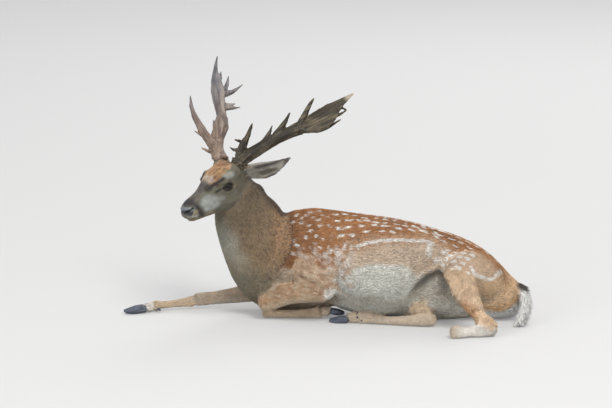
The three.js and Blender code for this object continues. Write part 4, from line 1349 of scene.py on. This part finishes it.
def make_lashes(side, word):
    """Lashes along the upper lid."""
    out, fore, up = eye_axes(side)
    rng = np.random.default_rng(31)
    roots, ways = [], []
    for c in np.linspace(-0.85, 0.8, LASHES):
        flat = fore * (c * EYE_HALF) + up * (lid_edges(c)[0] + 0.8)
        depth = math.sqrt(max(LID_RADIUS ** 2 - flat @ flat, 1.0))
        roots.append(from_head(EYE_AT[side] + flat + out * (depth + 0.2)))
        ways.append(unit(out * 0.9 - up * 0.25 + fore * (-0.25 + rng.normal(0, 0.12))) @ HEAD_AXES)
    roots, ways, high = np.array(roots), np.array(ways), up @ HEAD_AXES
    length = rng.uniform(0.006, 0.0095, len(roots))[:, None]
    sideways, lift = unit(np.cross(ways, high)) * 0.00028, high * 0.00035
    middle, tips = roots + ways * length * 0.55, roots + ways * length * 0.95 - high * 0.0022
    verts = np.stack([roots - sideways, roots + sideways, roots + lift, middle - sideways * 0.8,
                      middle + sideways * 0.8, middle + lift, tips], 1)
    lashes = new_object(f"lashes_{word}", verts.reshape(-1, 3), blade_faces(len(roots)))
    turned_out(lashes)
    finished(lashes, LID_SKIN)
    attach(lashes, "root")


for side, word in ((1, "left"), (-1, "right")):
    make_eye_ball(side, word)
    make_lid_rim(side, word)
    make_lashes(side, word)


# ---- antlers ----
BURR = np.array([-56.0, 43.0, 64.0])  # the root of the left antler in the head frame
ANTLER_AXIS = np.array([-0.28, 0.30, 0.9])
GROOVE, FINE_GROOVE, PEARL, LUMP = 0.0024, 0.0009, 0.0065, 0.0010
RING, RING_PEARL = 0.0040, 0.0034


def make_antler(side, word):
    """Beam, brow tine and palm in one, with grooves along the grain and a pearled ring at the root."""
    names = [f"antler_{word}_{k}" for k in ("beam", "brow", "palm")]
    ob = remeshed(f"antler_{word}", names, ANTLER_VOXEL, ANTLER_GROWTH)
    co, edges = points_of(ob), edges_of(ob)
    axes = np.array([long_axis(name) for name in names])
    axes *= np.sign(axes[:, 2:])
    along = unit(relax(axes[nearest_node(co, names, 0.006)], edges, 60))
    smooth = relax(co, edges, rounds_for(0.0026, ANTLER_VOXEL))
    moved = np.linalg.norm(smooth - co, axis=1)
    sharp = step(0.0008, 0.003, moved)[:, None] * 0.5
    co = smooth * (1 - sharp) + co * sharp
    set_points(ob, co)
    normal = normals_of(ob)
    # the root: how far a point is from the burr, and how far off its axis
    from_burr = in_head(co) - BURR * (1, side, 1)
    up = unit(ANTLER_AXIS * (1, side, 1))
    rise = from_burr @ up
    off = np.linalg.norm(from_burr - rise[:, None] * up, axis=1)
    base = np.exp(-np.clip(rise, 0, None) / 45) * (off < 60)
    ring = bump(rise, 2, 4.5) * (off < 34)
    squeezed = co - along * (co * along).sum(1, keepdims=True) * 0.90
    ridges, fine = noise(squeezed, 0.0052, 51) - 0.5, noise(squeezed, 0.0024, 52) - 0.5
    pearls, lump = np.maximum(noise(co, 0.005, 53) - 0.45, 0), noise(co, 0.022, 54) - 0.5
    push = ridges * GROOVE * (0.6 + base) + fine * FINE_GROOVE + pearls * PEARL * base + lump * LUMP
    push += ring * (RING + RING_PEARL * (noise(co, 0.0045, 55) - 0.4))
    set_points(ob, co + normal * push[:, None])
    # the left antler's tints hold painted shade as well as its dark colour
    dark, plain, far, pale = ANTLER_TINTS_LEFT_SHADED[word]
    reach = step(40, 300, rise)[:, None]
    colour = plain * (1 - reach) + far * reach
    colour = colour + (dark - colour) * step(0.0004, 0.0016, moved)[:, None] * 0.55
    if word == "left":
        colour = colour + (RUBBED_TIP - colour) * near(co, co[np.argmax(rise)], 0.034)[:, None] * 0.8
    worn = np.clip(ridges * 1.6 + pearls * 2.0 * base + lump * 0.5, -0.5, 0.6)[:, None]
    lighter = (pale - colour) * worn * (0.55 + 0.2 * reach)
    give_paint(ob, colour + np.where(worn > 0, lighter, (dark - colour) * -worn * 1.1))
    fewer(ob, min(1.0, ANTLER_TRIANGLES / (2 * len(ob.data.polygons))))
    finished(ob, ANTLER)
    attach(ob, "root")
    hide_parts(*names)


for side, word in ((1, "left"), (-1, "right")):
    make_antler(side, word)


# ---- hooves ----
GROWTH_RING, RING_DEPTH = 0.0034, 0.00013
CROWN_DRAWN, SOLE_DRAWN, DEWCLAW_SHIFT = 0.34, 0.10, 0.0055


def make_hooves(leg, fetlock, crown):
    """The two claws and two dewclaws of a foot, with growth rings."""
    names = [n for n in HOOVES if n.startswith(leg)]
    ob = remeshed(f"hooves_{leg}", names, HOOF_VOXEL, HOOF_GROWTH)
    co = relax(points_of(ob), edges_of(ob), 4, 0.9)
    set_points(ob, co)
    normal = normals_of(ob)
    toe = unit(centre_of(f"{leg}_claw_outer") - centre_of(f"{leg}_pastern"))
    along = co @ toe
    claw = np.array(["dew" not in n for n in names], float)[nearest_node(co, names, 0.003)][:, None]
    # the crowns of the claws are drawn in to the pastern, and the dewclaws sit against the fetlock
    past_crown = (co - crown) @ toe
    off = co - crown - toe * past_crown[:, None]
    drawn = fall(-0.004, 0.034, past_crown) * (np.linalg.norm(co - crown, axis=1) < 0.06)
    co = co - off * (drawn * np.where(off[:, 2] > 0, CROWN_DRAWN, SOLE_DRAWN))[:, None] * claw
    co = co + unit(fetlock - co) * DEWCLAW_SHIFT * (1 - claw)
    rings = np.sin(along / GROWTH_RING * 2 * math.pi + 2.0 * noise(co, 0.02, 61))[:, None]
    co = co + normal * rings * RING_DEPTH
    co[:, 2] = np.maximum(co[:, 2], 0)
    set_points(ob, co)
    tone = noise(co - toe * (along * 0.85)[:, None], 0.004, 62)[:, None]
    give_paint(ob, (HORN_DARK * (1 - tone) + HORN_LIGHT * tone) * (1 + 0.12 * rings))
    finished(ob, HORN)
    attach(ob, "root")
    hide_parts(*names)


for leg, fetlock, crown in zip(LEGS, FETLOCKS, CROWNS):
    make_hooves(leg, fetlock, crown)


# ---- camera, light and floor ----
def aim(ob, at, target):
    ob.location = at
    ob.rotation_euler = (Vector(target) - Vector(at)).to_track_quat("-Z", "Y").to_euler()


LOOK_AT, DISTANCE = Vector((-0.0669, 0.0029, 0.365)), 10
TURN, LIFT = math.radians(5), math.radians(11)
away = Vector((math.sin(TURN) * math.cos(LIFT), -math.cos(TURN) * math.cos(LIFT), math.sin(LIFT)))
camera = link("camera", bpy.data.cameras.new("camera"))
camera.data.sensor_width = 36
camera.data.lens = 182.4
camera.data.clip_end = 60
aim(camera, LOOK_AT + away * DISTANCE, LOOK_AT)
bpy.context.scene.camera = camera


def lamp(name, at, size, power, colour=(1, 1, 1)):
    data = bpy.data.lights.new(name, "AREA")
    data.shape = "DISK"
    data.size, data.energy, data.color = size, power, colour
    aim(link(name, data), at, (0, 0, 0.3))


lamp("key", (3.0, -5.2, 7.0), 3.6, 500, (1, 0.98, 0.95))
lamp("fill", (-6.0, -7.0, 3.2), 5.0, 260, (0.97, 0.985, 1))
lamp("rim", (1.6, 6.4, 5.2), 4.0, 160)


def seen_rays(tree):
    """1 for what is seen straight, mirrored or through glass, 0 for what only lights the scene."""
    rays = node(tree, "ShaderNodeLightPath").outputs
    either = maths(tree, "MAXIMUM", rays["Is Camera Ray"], rays["Is Glossy Ray"])
    return maths(tree, "MAXIMUM", either, rays["Is Transmission Ray"])


SKY_LIGHT, SKY_SEEN = 0.68, 0.92
world = bpy.data.worlds.new("studio")
bpy.context.scene.world = world
world.use_nodes = True
sky = world.node_tree
mix = node(sky, "ShaderNodeMix", {"Factor": seen_rays(sky)}, data_type="FLOAT", A=SKY_LIGHT, B=SKY_SEEN)
sky.links.new(mix.outputs["Result"], sky.nodes["Background"].inputs["Strength"])
sky.nodes["Background"].inputs["Color"].default_value = (0.98, 0.985, 1, 1)

FLOOR, FLOOR_GLOW = 26.0, 0.21
corners = [(-FLOOR, -FLOOR, 0), (FLOOR, -FLOOR, 0), (FLOOR, FLOOR, 0), (-FLOOR, FLOOR, 0)]
floor = new_object("floor", corners, [(0, 1, 2, 3)], False)
paper, paper_tree, paper_shader = material("floor_paper", Base_Color=(0.46, 0.46, 0.455, 1), Roughness=0.9,
                                           Emission_Color=(1, 1, 1, 1))
glow = maths(paper_tree, "MULTIPLY", seen_rays(paper_tree), FLOOR_GLOW)
paper_tree.links.new(glow, paper_shader.inputs["Emission Strength"])
floor.data.materials.append(paper)

scene = bpy.context.scene
scene.view_settings.view_transform = "Standard"
